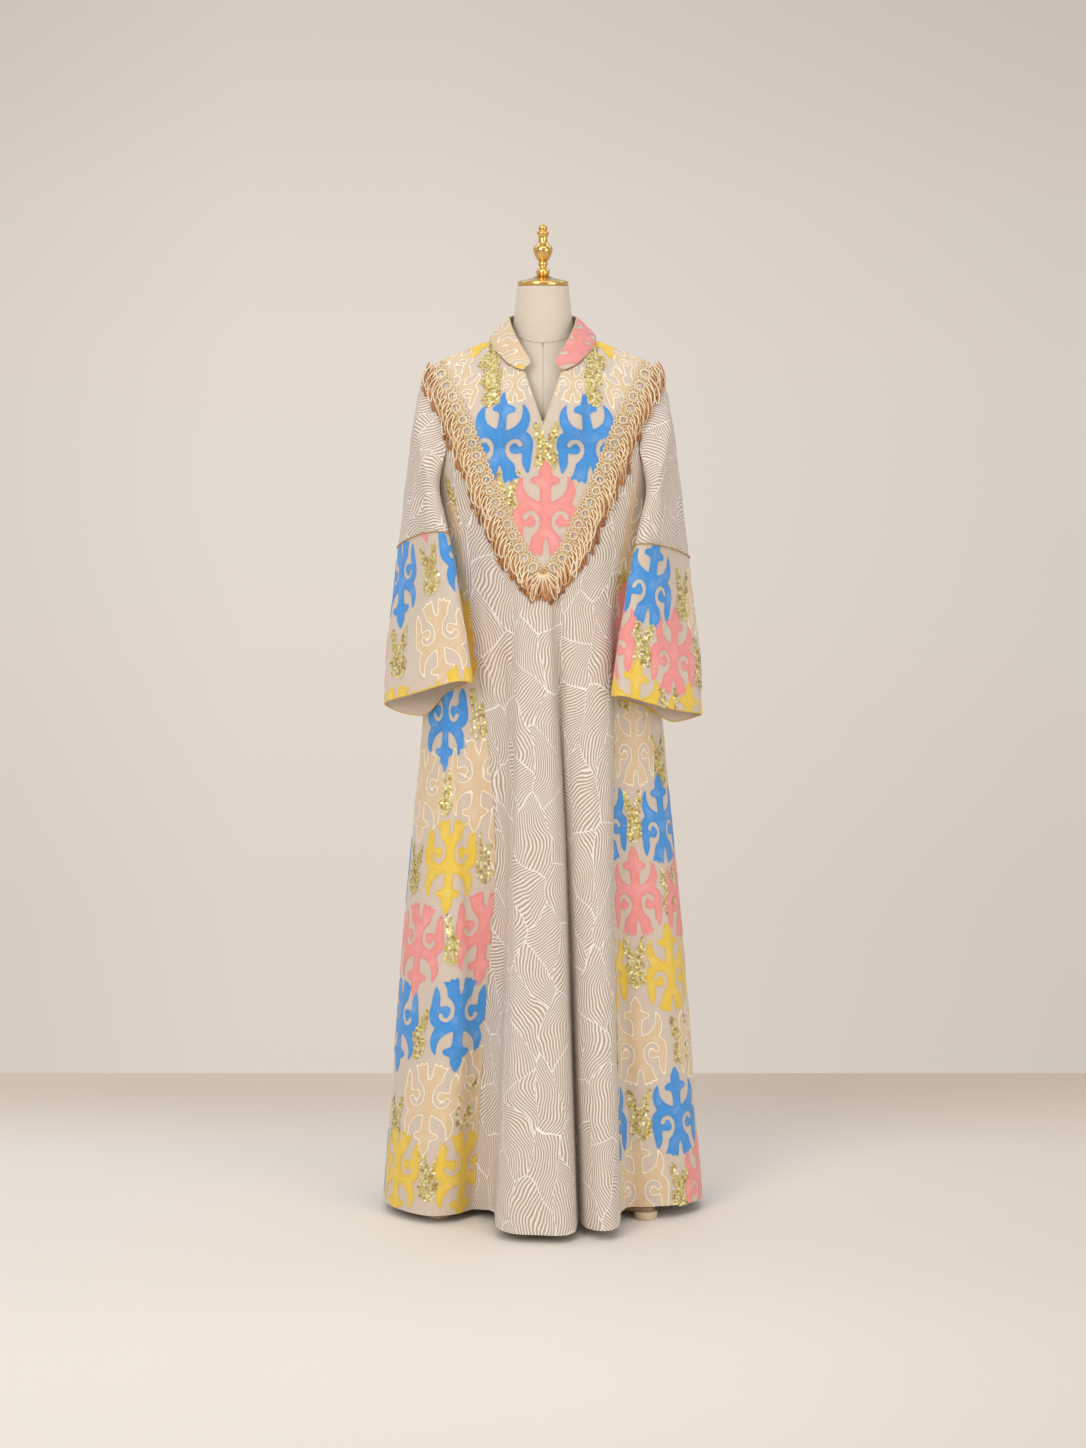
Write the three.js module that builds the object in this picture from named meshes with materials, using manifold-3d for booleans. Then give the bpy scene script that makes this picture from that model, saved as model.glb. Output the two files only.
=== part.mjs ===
// Abaya on a limbless dress form.  Millimetres, +Z up, the front faces -Y, +X is the viewer's right.
// The origin is on the floor, under the middle of the standing part.
//
// The garment is cloth worn over the form: every sewn piece is a wall of cloth through rings that
// are worked out from the tables below, and neighbouring pieces stay SEAM_GAP apart.
import * as THREE from 'three';
import { mergeVertices } from 'three/addons/utils/BufferGeometryUtils.js';
import Module from 'manifold-3d';

// ---------------------------------------------------------------- driving dimensions
const CLOTH_WALL = 1.6;          // thickness of the cloth walls
const SEAM_GAP = 0.3;            // gap between neighbouring pieces
const CHEST_Z = 1300;            // height where the front seams meet the armholes
const UNDERARM_Z = 1202;         // lowest point of the armholes
const FOLD_START_Z = 1123;       // the skirt folds grow from here down
const TRIM_WALL = 2.4;           // thickness of the braid
const FRINGE_WALL = 4.5;         // depth of the fringe
const PIPING_RADIUS = 1.5;
const COLLAR_WALL = 2.2;
const CLEAR_OF_BODY = 5;         // least distance between a sleeve and the body's cloth

// The body's ring without its folds: half width, depth to the front and the back, and the exponent
// of the superellipse.
const BODY = [
  { z: 0,    halfWidth: 274.5, front: 112, back: 165, boxy: 2.3 },
  { z: 206,  halfWidth: 258.5, front: 110, back: 156, boxy: 2.25 },
  { z: 431,  halfWidth: 241, front: 108, back: 147, boxy: 2.2 },
  { z: 654,  halfWidth: 219.5, front: 107, back: 138, boxy: 2.1 },
  { z: 864,  halfWidth: 200, front: 106, back: 129, boxy: 2.0 },
  { z: 1014, halfWidth: 190, front: 107, back: 121, boxy: 2.0 },
  { z: 1123, halfWidth: 185, front: 112, back: 114, boxy: 2.2 },
  { z: 1202, halfWidth: 182, front: 117, back: 110, boxy: 2.4 },
  { z: 1300, halfWidth: 183, front: 119, back: 106, boxy: 2.8 },
];

// Crests and valleys of the front, from the left seam to the right seam.  x at five heights, and how
// far the cloth stands forward of the plain ring at the hem; the exponent says how fast that fades.
const FRONT_FOLDS = [
  { name: 'left_seam',      xHem: -117, xLow: -99.5,  xMid: -80,   xHigh: -120, xTop: -157.5, out: -24, fade: 1.1 },
  { name: 'left_strip',     xHem: -98,  xLow: -83.5,  xMid: -70,   xHigh: -91,  xTop: -118, out: -10, fade: 1.0 },
  { name: 'tube_foot',      xHem: -84,  xLow: -69.5,  xMid: -61,   xHigh: -65.5,  xTop: -88.5,  out: 10,  fade: 1.0 },
  { name: 'tube_wall',      xHem: -80,  xLow: -66.5,  xMid: -57.5, xHigh: -55.5,  xTop: -73,  out: 58,  fade: 0.95 },
  { name: 'tube_shoulder',  xHem: -75,  xLow: -61.5,  xMid: -52,   xHigh: -44.5,  xTop: -57,  out: 102, fade: 0.88 },
  { name: 'tube_crest',     xHem: -50.5,  xLow: -40,  xMid: -32,   xHigh: -26.5,  xTop: -31.5,  out: 126, fade: 0.85 },
  { name: 'tube_middle',    xHem: -8,   xLow: -4,   xMid: -3,    xHigh: -5,   xTop: -8,   out: 133, fade: 0.85 },
  { name: 'tube_crest_2',   xHem: 30.5,   xLow: 25,   xMid: 18,    xHigh: 8,    xTop: 6,    out: 137, fade: 0.86 },
  { name: 'valley_lip',     xHem: 50.5,   xLow: 41,   xMid: 31.5,  xHigh: 15,   xTop: 14,   out: 121, fade: 0.95 },
  { name: 'valley_wall',    xHem: 56.5,   xLow: 46,   xMid: 36,    xHigh: 19,   xTop: 19.5,   out: 84,  fade: 1.15 },
  { name: 'valley',         xHem: 60.5,   xLow: 50,   xMid: 40,    xHigh: 24,   xTop: 26.5,   out: 52,  fade: 1.7 },
  { name: 'valley_wall_2',  xHem: 64.5,   xLow: 54.5,   xMid: 45,    xHigh: 29.5,   xTop: 34.5,   out: 72,  fade: 1.2 },
  { name: 'valley_lip_2',   xHem: 73,   xLow: 62.5,   xMid: 54,    xHigh: 39.5,   xTop: 45.5,   out: 98,  fade: 0.95 },
  { name: 'crest_right',    xHem: 93,   xLow: 82.5,   xMid: 76,    xHigh: 65.5,   xTop: 73,   out: 120, fade: 0.85 },
  { name: 'crest_right_2',  xHem: 112,  xLow: 102.5,  xMid: 96,    xHigh: 93,   xTop: 102.5,  out: 124, fade: 0.86 },
  { name: 'right_shoulder', xHem: 124.5,  xLow: 115.5,  xMid: 110,   xHigh: 111,  xTop: 126,  out: 112, fade: 0.92 },
  { name: 'right_wall',     xHem: 129.5,  xLow: 121.5,  xMid: 116,   xHigh: 118,  xTop: 144,  out: 72,  fade: 1.0 },
  { name: 'right_seam',     xHem: 131, xLow: 123.5, xMid: 118,   xHigh: 121,  xTop: 157.5,  out: 34,  fade: 1.0 },
];
// The same for the side panels, from a front seam round to a back seam (x is a share of the half
// width; negative side means the front half), and for the back, from its right seam to its left.
const RIGHT_SIDE_FOLDS = [
  { name: 'front_hollow',  side: -1, share: 0.535, shareTop: 0.90, out: 0,  fade: 1.0 },
  { name: 'front_flat',    side: -1, share: 0.66,  shareTop: 0.94, out: 9,  fade: 1.2 },
  { name: 'front_round',   side: -1, share: 0.845, shareTop: 0.975, out: 14, fade: 1.2 },
  { name: 'front_edge',    side: -1, share: 0.955, shareTop: 0.994, out: 5, fade: 1.2 },
  { name: 'side',          side: 1,  share: 1.0,   shareTop: 1.0,  out: 0,  fade: 1.0 },
  { name: 'back_edge',     side: 1,  share: 0.93,  shareTop: 0.985, out: 8, fade: 1.2 },
  { name: 'back_fold',     side: 1,  share: 0.77,  shareTop: 0.93, out: 36, fade: 1.0 },
  { name: 'back_hollow',   side: 1,  share: 0.64,  shareTop: 0.86, out: 4,  fade: 1.2 },
];
const LEFT_SIDE_FOLDS = [
  { name: 'front_hollow',  side: -1, share: 0.475, shareTop: 0.90, out: -12, fade: 1.1 },
  { name: 'lobe_inner',    side: -1, share: 0.545, shareTop: 0.93, out: 24, fade: 1.15 },
  { name: 'lobe_crest',    side: -1, share: 0.665, shareTop: 0.95, out: 45, fade: 1.15 },
  { name: 'lobe_outer',    side: -1, share: 0.835, shareTop: 0.975, out: 36, fade: 1.2 },
  { name: 'front_edge',    side: -1, share: 0.95,  shareTop: 0.994, out: 16, fade: 1.2 },
  { name: 'side',          side: 1,  share: 1.0,   shareTop: 1.0,  out: 0,  fade: 1.0 },
  { name: 'back_edge',     side: 1,  share: 0.94,  shareTop: 0.985, out: 6, fade: 1.2 },
  { name: 'back_fold',     side: 1,  share: 0.78,  shareTop: 0.93, out: 40, fade: 1.0 },
  { name: 'back_hollow',   side: 1,  share: 0.65,  shareTop: 0.86, out: 2,  fade: 1.2 },
];
const BACK_FOLDS = [
  { name: 'right_seam',    xHem: 159.5,  xTop: 149.5,  out: -14, fade: 1.1 },
  { name: 'right_rise',    xHem: 129.5,  xTop: 122,  out: 40,  fade: 1.0 },
  { name: 'right_tube',    xHem: 93,   xTop: 90.5,   out: 78,  fade: 0.9 },
  { name: 'right_valley',  xHem: 50.5,   xTop: 51,   out: 26,  fade: 1.2 },
  { name: 'middle_rise',   xHem: 28.5,   xTop: 27.5,   out: 66,  fade: 1.0 },
  { name: 'middle_tube',   xHem: -4,   xTop: 0,    out: 84,  fade: 0.9 },
  { name: 'middle_fall',   xHem: -32.5,  xTop: -27.5,  out: 62,  fade: 1.0 },
  { name: 'left_valley',   xHem: -52.5,  xTop: -51,  out: 30,  fade: 1.2 },
  { name: 'left_tube',     xHem: -89,  xTop: -90.5,  out: 74,  fade: 0.9 },
  { name: 'left_fall',     xHem: -127.5, xTop: -122, out: 36,  fade: 1.0 },
  { name: 'left_seam',     xHem: -155.5, xTop: -149.5, out: -12, fade: 1.1 },
];
// Height of the hem above the floor round the body.
const HEM = [
  { turn: -180, z: 20 }, { turn: -90, z: 16 }, { turn: -58, z: 14 }, { turn: -35, z: 20 },
  { turn: -8, z: 14 }, { turn: 12, z: 14 }, { turn: 24, z: 17 }, { turn: 38, z: 23 },
  { turn: 60, z: 23 }, { turn: 90, z: 18 }, { turn: 180, z: 20 },
];
// The top edge of the front and the back, from the middle to the tip of the shoulder.
// 'share' is the share of the half front.
const FRONT_TOP = [
  { share: 0,    x: 0,   y: -90, z: 1419 },
  { share: 0.14, x: 33.5,  y: -86, z: 1425 },
  { share: 0.24, x: 51,  y: -73, z: 1432 },
  { share: 0.33, x: 68.5,  y: -51, z: 1447 },
  { share: 0.42, x: 87.5,  y: 1,   z: 1475 },
  { share: 0.58, x: 117, y: 1,   z: 1464 },
  { share: 0.78, x: 157, y: 1,   z: 1449 },
  { share: 0.92, x: 183.5, y: 1,   z: 1435 },
  { share: 1,    x: 193.5, y: 1,   z: 1426 },
];
const BACK_TOP = [
  { share: 0,    x: 0,   y: 66, z: 1493 },
  { share: 0.16, x: 35.5,  y: 60, z: 1491 },
  { share: 0.30, x: 65,  y: 41, z: 1485 },
  { share: 0.42, x: 87.5,  y: 1,  z: 1475 },
  { share: 0.58, x: 117, y: 1,  z: 1464 },
  { share: 0.78, x: 157, y: 1,  z: 1449 },
  { share: 0.92, x: 183.5, y: 1,  z: 1435 },
  { share: 1,    x: 193.5, y: 1,  z: 1426 },
];
// The armhole's edge above CHEST_Z: 'rise' is the share of the way up to the tip of the shoulder.
const ARMHOLE = [
  { rise: 0,    frontX: 157.5, frontY: -81, backX: 149.5, backY: 79, z: 1300 },
  { rise: 0.3,  frontX: 160.5, frontY: -77, backX: 153.5, backY: 74, z: 1338 },
  { rise: 0.55, frontX: 167, frontY: -64, backX: 163.5, backY: 60, z: 1371 },
  { rise: 0.8,  frontX: 180, frontY: -38, backX: 179, backY: 34, z: 1404 },
  { rise: 1,    frontX: 193.5, frontY: 1,   backX: 193.5, backY: 1,  z: 1426 },
];
const CHEST_BULGE = { middle: 10, shoulder: 44, back: 30 };  // fullness between chest and shoulder

// The V of the yoke, right half: inner edge of the braid, the seam below it, the outer edge of the
// braid and the reach of the fringe.
const YOKE_V = [
  { z: 1480, inner: 190, seam: 199, outer: 212, fringe: 245 },
  { z: 1426, inner: 160, seam: 170, outer: 184, fringe: 212 },
  { z: 1377, inner: 134, seam: 144, outer: 158, fringe: 190 },
  { z: 1330, inner: 113, seam: 123, outer: 137, fringe: 170 },
  { z: 1280, inner: 94, seam: 104, outer: 118, fringe: 154 },
  { z: 1235, inner: 76, seam: 86, outer: 100, fringe: 131 },
  { z: 1190, inner: 54, seam: 64, outer: 78, fringe: 105 },
  { z: 1150, inner: 36, seam: 46, outer: 61, fringe: 86 },
  { z: 1126, inner: 22, seam: 33, outer: 49, fringe: 71 },
  { z: 1106, inner: 3, seam: 17, outer: 36, fringe: 60 },
  { z: 1090, inner: -10, seam: 5, outer: 26, fringe: 50 },
  { z: 1074, inner: -24, seam: -10, outer: 12, fringe: 38 },
  { z: 1060, inner: -38, seam: -24, outer: -4, fringe: 24 },
  { z: 1044, inner: -54, seam: -40, outer: -22, fringe: 2 },
];
// The neck slit: half width of the opening.
const SLIT = { topZ: 1432, topHalf: 31, foot: 1338 };

// Sleeves, for the left one; the right one is the mirror image with its own sizes.
// cx, cy: middle of the ring, wide: half of its flat width, thick: half of its thickness,
// turn: angle of the flat width from the X axis, front edge inwards.
const SLEEVE = [
  { z: 1437, cx: 192.5, cy: -2,  wide: 78.5, thick: 12, turn: 88 },
  { z: 1379, cx: 196.5, cy: -4,  wide: 80.5, thick: 14, turn: 87 },
  { z: 1300, cx: 201, cy: -9,  wide: 82.5, thick: 18, turn: 83 },
  { z: 1222, cx: 200.5, cy: -27, wide: 84, thick: 21, turn: 74 },
  { z: 1156, cx: 197.5, cy: -46, wide: 85, thick: 24, turn: 65 },
  { z: 1102, cx: 195, cy: -58, wide: 85, thick: 26, turn: 58 },
  { z: 1038, cx: 193, cy: -71, wide: 86, thick: 28, turn: 51 },
  { z: 975,  cx: 191.5, cy: -80, wide: 87.5, thick: 30, turn: 43 },
  { z: 894,  cx: 188.5, cy: -92, wide: 88.5, thick: 34, turn: 36 },
  { z: 834,  cx: 187, cy: -98, wide: 89.5, thick: 36, turn: 33 },
];
// Heights of the cuff seam and the cuff's hem: the middle, how much higher the inner edge is, how much
// higher the front is, and how much higher both edges are than the middle.
const LEFT_SLEEVE = { side: -1, seamMiddle: 1144, seamInner: 19, seamFront: 6, seamEdges: 0, hemMiddle: 885, hemInner: 25, hemFront: 20, hemEdges: 7, hemLift: 34, liftFrom: 242 };
const RIGHT_SLEEVE = { side: 1, seamMiddle: 1127, seamInner: 17, seamFront: 4, seamEdges: 0, hemMiddle: 866, hemInner: 21.5, hemFront: 13.5, hemEdges: 7, hemLift: 25, liftFrom: 228 };

// The stand collar: its base follows the neckline, its top leans in to the neck.
const COLLAR = [
  { share: 0,    baseX: 32.5, baseY: -89, baseZ: 1427, topX: 23.5, topY: -80, topZ: 1436 },
  { share: 0.03, baseX: 36.5, baseY: -87, baseZ: 1428, topX: 21.5, topY: -77, topZ: 1441 },
  { share: 0.10, baseX: 51, baseY: -76, baseZ: 1434, topX: 31.5, topY: -70, topZ: 1459 },
  { share: 0.22, baseX: 68.5, baseY: -53, baseZ: 1449, topX: 46, topY: -54, topZ: 1485 },
  { share: 0.34, baseX: 83.5, baseY: -22, baseZ: 1468, topX: 54, topY: -29, topZ: 1504 },
  { share: 0.44, baseX: 87.5, baseY: 3,   baseZ: 1478, topX: 56, topY: -4,  topZ: 1513.5 },
  { share: 0.60, baseX: 80.5, baseY: 30,  baseZ: 1487, topX: 52, topY: 25,  topZ: 1515.5 },
  { share: 0.78, baseX: 55, baseY: 54,  baseZ: 1493, topX: 37.5, topY: 47,  topZ: 1520 },
  { share: 1,    baseX: 0,  baseY: 68,  baseZ: 1497, topX: 0,  topY: 60,  topZ: 1524 },
];

// The dress form: rings of the torso and neck.
const FORM = [
  { z: 800,  halfWidth: 128, front: 70,  back: 84, cy: 4 },
  { z: 806,  halfWidth: 138, front: 78,  back: 92, cy: 4 },
  { z: 880,  halfWidth: 148, front: 84,  back: 98, cy: 4 },
  { z: 960,  halfWidth: 140, front: 84,  back: 92, cy: 2 },
  { z: 1060, halfWidth: 118, front: 82,  back: 78, cy: 0 },
  { z: 1130, halfWidth: 122, front: 90,  back: 78, cy: 0 },
  { z: 1210, halfWidth: 140, front: 100, back: 84, cy: 0 },
  { z: 1290, halfWidth: 148, front: 102, back: 88, cy: 0 },
  { z: 1350, halfWidth: 152, front: 99,  back: 84, cy: 0 },
  { z: 1398, halfWidth: 147, front: 86,  back: 68, cy: 4 },
  { z: 1418, halfWidth: 135, front: 76,  back: 58, cy: 4 },
  { z: 1436, halfWidth: 112, front: 64,  back: 52, cy: 4 },
  { z: 1452, halfWidth: 84,  front: 55,  back: 48, cy: 4 },
  { z: 1468, halfWidth: 63,  front: 50,  back: 46, cy: 3 },
  { z: 1492, halfWidth: 52,  front: 47,  back: 46, cy: 1 },
  { z: 1518, halfWidth: 48,  front: 45,  back: 45, cy: 0 },
  { z: 1546, halfWidth: 45,  front: 43,  back: 43, cy: 0 },
  { z: 1566, halfWidth: 43, front: 42, back: 42, cy: 0 },
];
const CAP = { z0: 1566.3, z1: 1574, radius: 42.3, dome: 1581 };
// The turned finial: radius at each height above the cap.
const FINIAL = [
  { z: 1581.4, r: 15 }, { z: 1583.4, r: 9 }, { z: 1584.6, r: 10.4 }, { z: 1587.5, r: 11.4 }, { z: 1591.3, r: 11.2 },
  { z: 1594.6, r: 9 }, { z: 1596.6, r: 6.6 }, { z: 1599.9, r: 6.6 }, { z: 1600.9, r: 8.2 }, { z: 1603.8, r: 8.4 },
  { z: 1605.7, r: 7.2 }, { z: 1610.5, r: 10.6 }, { z: 1615.3, r: 13 }, { z: 1621, r: 15.4 }, { z: 1626.3, r: 16.2 },
  { z: 1630.6, r: 14.8 }, { z: 1635.4, r: 10 }, { z: 1639.2, r: 7.8 }, { z: 1646.9, r: 7.6 }, { z: 1650.7, r: 9.4 },
  { z: 1653.6, r: 10.4 }, { z: 1656, r: 9.2 }, { z: 1657.9, r: 6.6 }, { z: 1660.3, r: 7.6 }, { z: 1663.2, r: 7.8 },
  { z: 1666.1, r: 5.6 },
];
const FINIAL_TOP = 1668;
const POLE = { radius: 15, z0: 46.3, z1: 799.7, sides: 20 };
const HUB = { radius: 42, z0: 16, z1: 46 };
const LEGS = [
  { name: 'right', turn: -25.4 }, { name: 'rear', turn: 88.5 }, { name: 'left', turn: 202.4 },
];
const LEG = { reach: 192.5, width: 30, z0: 13.3, z1: 30, footRadius: 20, footHeight: 13 };

// ---------------------------------------------------------------- small tools
// Smooth interpolation of a table's column (Hermite with limited slopes, no overshoot).
function column(table, key, name, at) {
  const n = table.length;
  if (at <= table[0][key]) return table[0][name];
  if (at >= table[n - 1][key]) return table[n - 1][name];
  let i = 0;
  while (i < n - 2 && at > table[i + 1][key]) i += 1;
  const slope = (k) => (table[k + 1][name] - table[k][name]) / (table[k + 1][key] - table[k][key]);
  const tangent = (k) => {
    if (k === 0) return slope(0);
    if (k === n - 1) return slope(n - 2);
    const a = slope(k - 1);
    const b = slope(k);
    return a * b <= 0 ? 0 : (2 * a * b) / (a + b);
  };
  const h = table[i + 1][key] - table[i][key];
  const q = (at - table[i][key]) / h;
  const q2 = q * q;
  const q3 = q2 * q;
  return (2 * q3 - 3 * q2 + 1) * table[i][name] + (q3 - 2 * q2 + q) * h * tangent(i)
    + (-2 * q3 + 3 * q2) * table[i + 1][name] + (q3 - q2) * h * tangent(i + 1);
}
const lerp = (a, b, q) => a + (b - a) * q;
const clamp01 = (q) => Math.min(1, Math.max(0, q));
const smooth = (q) => { const c = clamp01(q); return c * c * (3 - 2 * c); };

// Centripetal Catmull-Rom through plan points: the point at share q between points i and i+1.
function splinePoint(points, i, q) {
  const n = points.length;
  const p0 = points[Math.max(0, i - 1)];
  const p1 = points[i];
  const p2 = points[Math.min(n - 1, i + 1)];
  const p3 = points[Math.min(n - 1, i + 2)];
  const knot = (a, b) => Math.max(1e-3, Math.sqrt(Math.hypot(a[0] - b[0], a[1] - b[1])));
  const d0 = knot(p0, p1);
  const d1 = knot(p1, p2);
  const d2 = knot(p2, p3);
  const out = [];
  for (let c = 0; c < 2; c += 1) {
    let t1 = (p1[c] - p0[c]) / d0 - (p2[c] - p0[c]) / (d0 + d1) + (p2[c] - p1[c]) / d1;
    let t2 = (p2[c] - p1[c]) / d1 - (p3[c] - p1[c]) / (d1 + d2) + (p3[c] - p2[c]) / d2;
    if (p0 === p1) t1 = (p2[c] - p1[c]) / d1;
    if (p3 === p2) t2 = (p2[c] - p1[c]) / d1;
    t1 *= d1;
    t2 *= d1;
    out.push((2 * q ** 3 - 3 * q ** 2 + 1) * p1[c] + (q ** 3 - 2 * q ** 2 + q) * t1
      + (-2 * q ** 3 + 3 * q ** 2) * p2[c] + (q ** 3 - q ** 2) * t2);
  }
  return out;
}

// ---------------------------------------------------------------- the body's surface
function ringDepth(x, z, side) {
  const a = column(BODY, 'z', 'halfWidth', z);
  const n = column(BODY, 'z', 'boxy', z);
  const b = column(BODY, 'z', side < 0 ? 'front' : 'back', z);
  return side * b * (1 - Math.min(1, Math.abs(x) / a) ** n) ** (1 / n);
}
// How strongly a fold shows at a height: 1 at the hem, 0 at FOLD_START_Z.
const foldShare = (z, fade) => clamp01((FOLD_START_Z - z) / (FOLD_START_Z - 16)) ** fade;
const FRONT_LEVELS = [['xHem', 16], ['xLow', 319], ['xMid', 633], ['xHigh', 1024], ['xTop', CHEST_Z]];
function frontStation(row, z) {
  const x = column(FRONT_LEVELS.map(([name, at]) => ({ at, v: row[name] })), 'at', 'v', z);
  return [x, ringDepth(x, z, -1) - row.out * foldShare(z, row.fade)];
}
function backStation(row, z) {
  const x = lerp(row.xHem, row.xTop, smooth((z - 16) / (CHEST_Z - 16)));
  return [x, ringDepth(x, z, 1) + row.out * foldShare(z, row.fade)];
}
function sideStation(row, z, sign) {
  const a = column(BODY, 'z', 'halfWidth', z);
  const share = lerp(row.share, row.shareTop, smooth((z - 300) / (CHEST_Z - 300)));
  const x = sign * a * share;
  const y = ringDepth(x, z, row.side);
  const angle = Math.atan2(y / column(BODY, 'z', row.side < 0 ? 'front' : 'back', z), x / a);
  const out = row.out * foldShare(z, row.fade);
  return [x + 0.25 * out * Math.cos(angle) * (Math.abs(share) > 0.99 ? 0 : 1), y + out * Math.sin(angle)];
}
// All plan points of the ring at a height, counted from the left front seam to the right, round the
// right side, over the back and round the left side.
function stations(z) {
  return {
    front: FRONT_FOLDS.map((row) => frontStation(row, z)),
    right: RIGHT_SIDE_FOLDS.map((row) => sideStation(row, z, 1)),
    back: BACK_FOLDS.map((row) => backStation(row, z)),
    left: LEFT_SIDE_FOLDS.map((row) => sideStation(row, z, -1)).reverse(),
  };
}
// Spans of a panel: a list of plan points with one neighbour beyond each end.
function panelSpans(panel, z) {
  const s = stations(z);
  if (panel === 'front') return { points: [s.left[s.left.length - 1], ...s.front, s.right[0]], first: 1, count: s.front.length - 1 };
  if (panel === 'right') return { points: [s.front[s.front.length - 2], s.front[s.front.length - 1], ...s.right, s.back[0], s.back[1]], first: 1, count: s.right.length + 1 };
  if (panel === 'back') return { points: [s.right[s.right.length - 1], ...s.back, s.left[0]], first: 1, count: s.back.length - 1 };
  return { points: [s.back[s.back.length - 2], s.back[s.back.length - 1], ...s.left, s.front[0], s.front[1]], first: 1, count: s.left.length + 1 };
}
// A row of a panel: at each span a few points, listed in 'steps'; returns [x, y, z] points.
function panelRow(panel, zOf, steps) {
  const row = [];
  const total = steps.reduce((a, b) => a + b, 0);
  let k = 0;
  for (let i = 0; i < steps.length; i += 1) {
    for (let j = 0; j < steps[i] + (i === steps.length - 1 ? 1 : 0); j += 1) {
      const z = zOf(k / total);
      const { points, first } = panelSpans(panel, z);
      const [x, y] = splinePoint(points, first + i, j / steps[i]);
      row.push([x, y, z]);
      k += 1;
    }
  }
  return row;
}
// Directions along the ring at the two ends of a panel, the same as its neighbours'.
function endTangents(panel, steps, zFirst, zLast) {
  const a = panelSpans(panel, zFirst);
  const b = panelSpans(panel, zLast);
  const p = splinePoint(a.points, a.first, 1e-3);
  const p0 = splinePoint(a.points, a.first, 0);
  const i = b.first + steps.length - 1;
  const q = splinePoint(b.points, i, 1);
  const q0 = splinePoint(b.points, i, 1 - 1e-3);
  return [unit([p[0] - p0[0], p[1] - p0[1], 0]), unit([q[0] - q0[0], q[1] - q0[1], 0])];
}
function hemAt(x, y) {
  const turn = (Math.atan2(x, -y) * 180) / Math.PI;
  return column(HEM, 'turn', 'z', turn);
}

// ---------------------------------------------------------------- solids from grids
function solidFrom(positions, triangles) {
  const g = new THREE.BufferGeometry();
  g.setAttribute('position', new THREE.Float32BufferAttribute(positions.flat(), 3));
  g.setIndex(triangles.flat());
  return g;
}
const sub = (a, b) => [a[0] - b[0], a[1] - b[1], a[2] - b[2]];
const add = (a, b, s = 1) => [a[0] + b[0] * s, a[1] + b[1] * s, a[2] + b[2] * s];
const cross = (a, b) => [a[1] * b[2] - a[2] * b[1], a[2] * b[0] - a[0] * b[2], a[0] * b[1] - a[1] * b[0]];
const unit = (a) => { const l = Math.hypot(...a) || 1; return [a[0] / l, a[1] / l, a[2] / l]; };

// Normals of a grid of points, rows by columns, pointing to (column direction) x (row direction).
function gridNormals(grid, closed) {
  const rows = grid.length;
  const cols = grid[0].length;
  return grid.map((row, r) => row.map((p, c) => {
    const left = closed ? row[(c + cols - 1) % cols] : row[Math.max(0, c - 1)];
    const right = closed ? row[(c + 1) % cols] : row[Math.min(cols - 1, c + 1)];
    let du = sub(right, left);
    if (row.ends && c === 0) [du] = row.ends;
    if (row.ends && c === cols - 1) [, du] = row.ends;
    const dv = sub(grid[Math.min(rows - 1, r + 1)][c], grid[Math.max(0, r - 1)][c]);
    return unit(cross(du, dv));
  }));
}
// A wall between two offsets of a grid (outer above inner along the normals).
function wall(grid, outer, inner, closed = false) {
  const rows = grid.length;
  const cols = grid[0].length;
  const normals = gridNormals(grid, closed);
  const at = [];
  for (const offset of [outer, inner]) {
    for (let r = 0; r < rows; r += 1) for (let c = 0; c < cols; c += 1) at.push(add(grid[r][c], normals[r][c], offset));
  }
  const id = (layer, r, c) => layer * rows * cols + r * cols + (closed ? (c + cols) % cols : c);
  const tris = [];
  const quad = (a, b, c, d) => { tris.push([a, b, c], [a, c, d]); };
  const lastCol = closed ? cols : cols - 1;
  for (let r = 0; r < rows - 1; r += 1) {
    for (let c = 0; c < lastCol; c += 1) {
      quad(id(0, r, c), id(0, r, c + 1), id(0, r + 1, c + 1), id(0, r + 1, c));
      quad(id(1, r, c), id(1, r + 1, c), id(1, r + 1, c + 1), id(1, r, c + 1));
    }
  }
  for (let c = 0; c < lastCol; c += 1) {
    quad(id(0, 0, c), id(1, 0, c), id(1, 0, c + 1), id(0, 0, c + 1));
    quad(id(0, rows - 1, c), id(0, rows - 1, c + 1), id(1, rows - 1, c + 1), id(1, rows - 1, c));
  }
  if (!closed) {
    for (let r = 0; r < rows - 1; r += 1) {
      quad(id(0, r, 0), id(0, r + 1, 0), id(1, r + 1, 0), id(1, r, 0));
      quad(id(0, r, cols - 1), id(1, r, cols - 1), id(1, r + 1, cols - 1), id(0, r + 1, cols - 1));
    }
  }
  return solidFrom(at, tris);
}
// A closed solid through rings (each a closed loop), with flat ends.
function loft(rings) {
  const n = rings[0].length;
  const at = rings.flat();
  const tris = [];
  for (let r = 0; r < rings.length - 1; r += 1) {
    for (let c = 0; c < n; c += 1) {
      const a = r * n + c;
      const b = r * n + ((c + 1) % n);
      tris.push([a, b, b + n], [a, b + n, a + n]);
    }
  }
  const middle = (ring) => ring.reduce((m, p) => add(m, p, 1 / n), [0, 0, 0]);
  at.push(middle(rings[0]), middle(rings[rings.length - 1]));
  const low = at.length - 2;
  const high = at.length - 1;
  const last = (rings.length - 1) * n;
  for (let c = 0; c < n; c += 1) {
    tris.push([low, (c + 1) % n, c]);
    tris.push([high, last + c, last + ((c + 1) % n)]);
  }
  return solidFrom(at, tris);
}
const circle = (cx, cy, z, r, sides, start = 0) => Array.from({ length: sides }, (_, i) => {
  const a = start + (2 * Math.PI * i) / sides;
  return [cx + r * Math.cos(a), cy + r * Math.sin(a), z];
});

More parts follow.
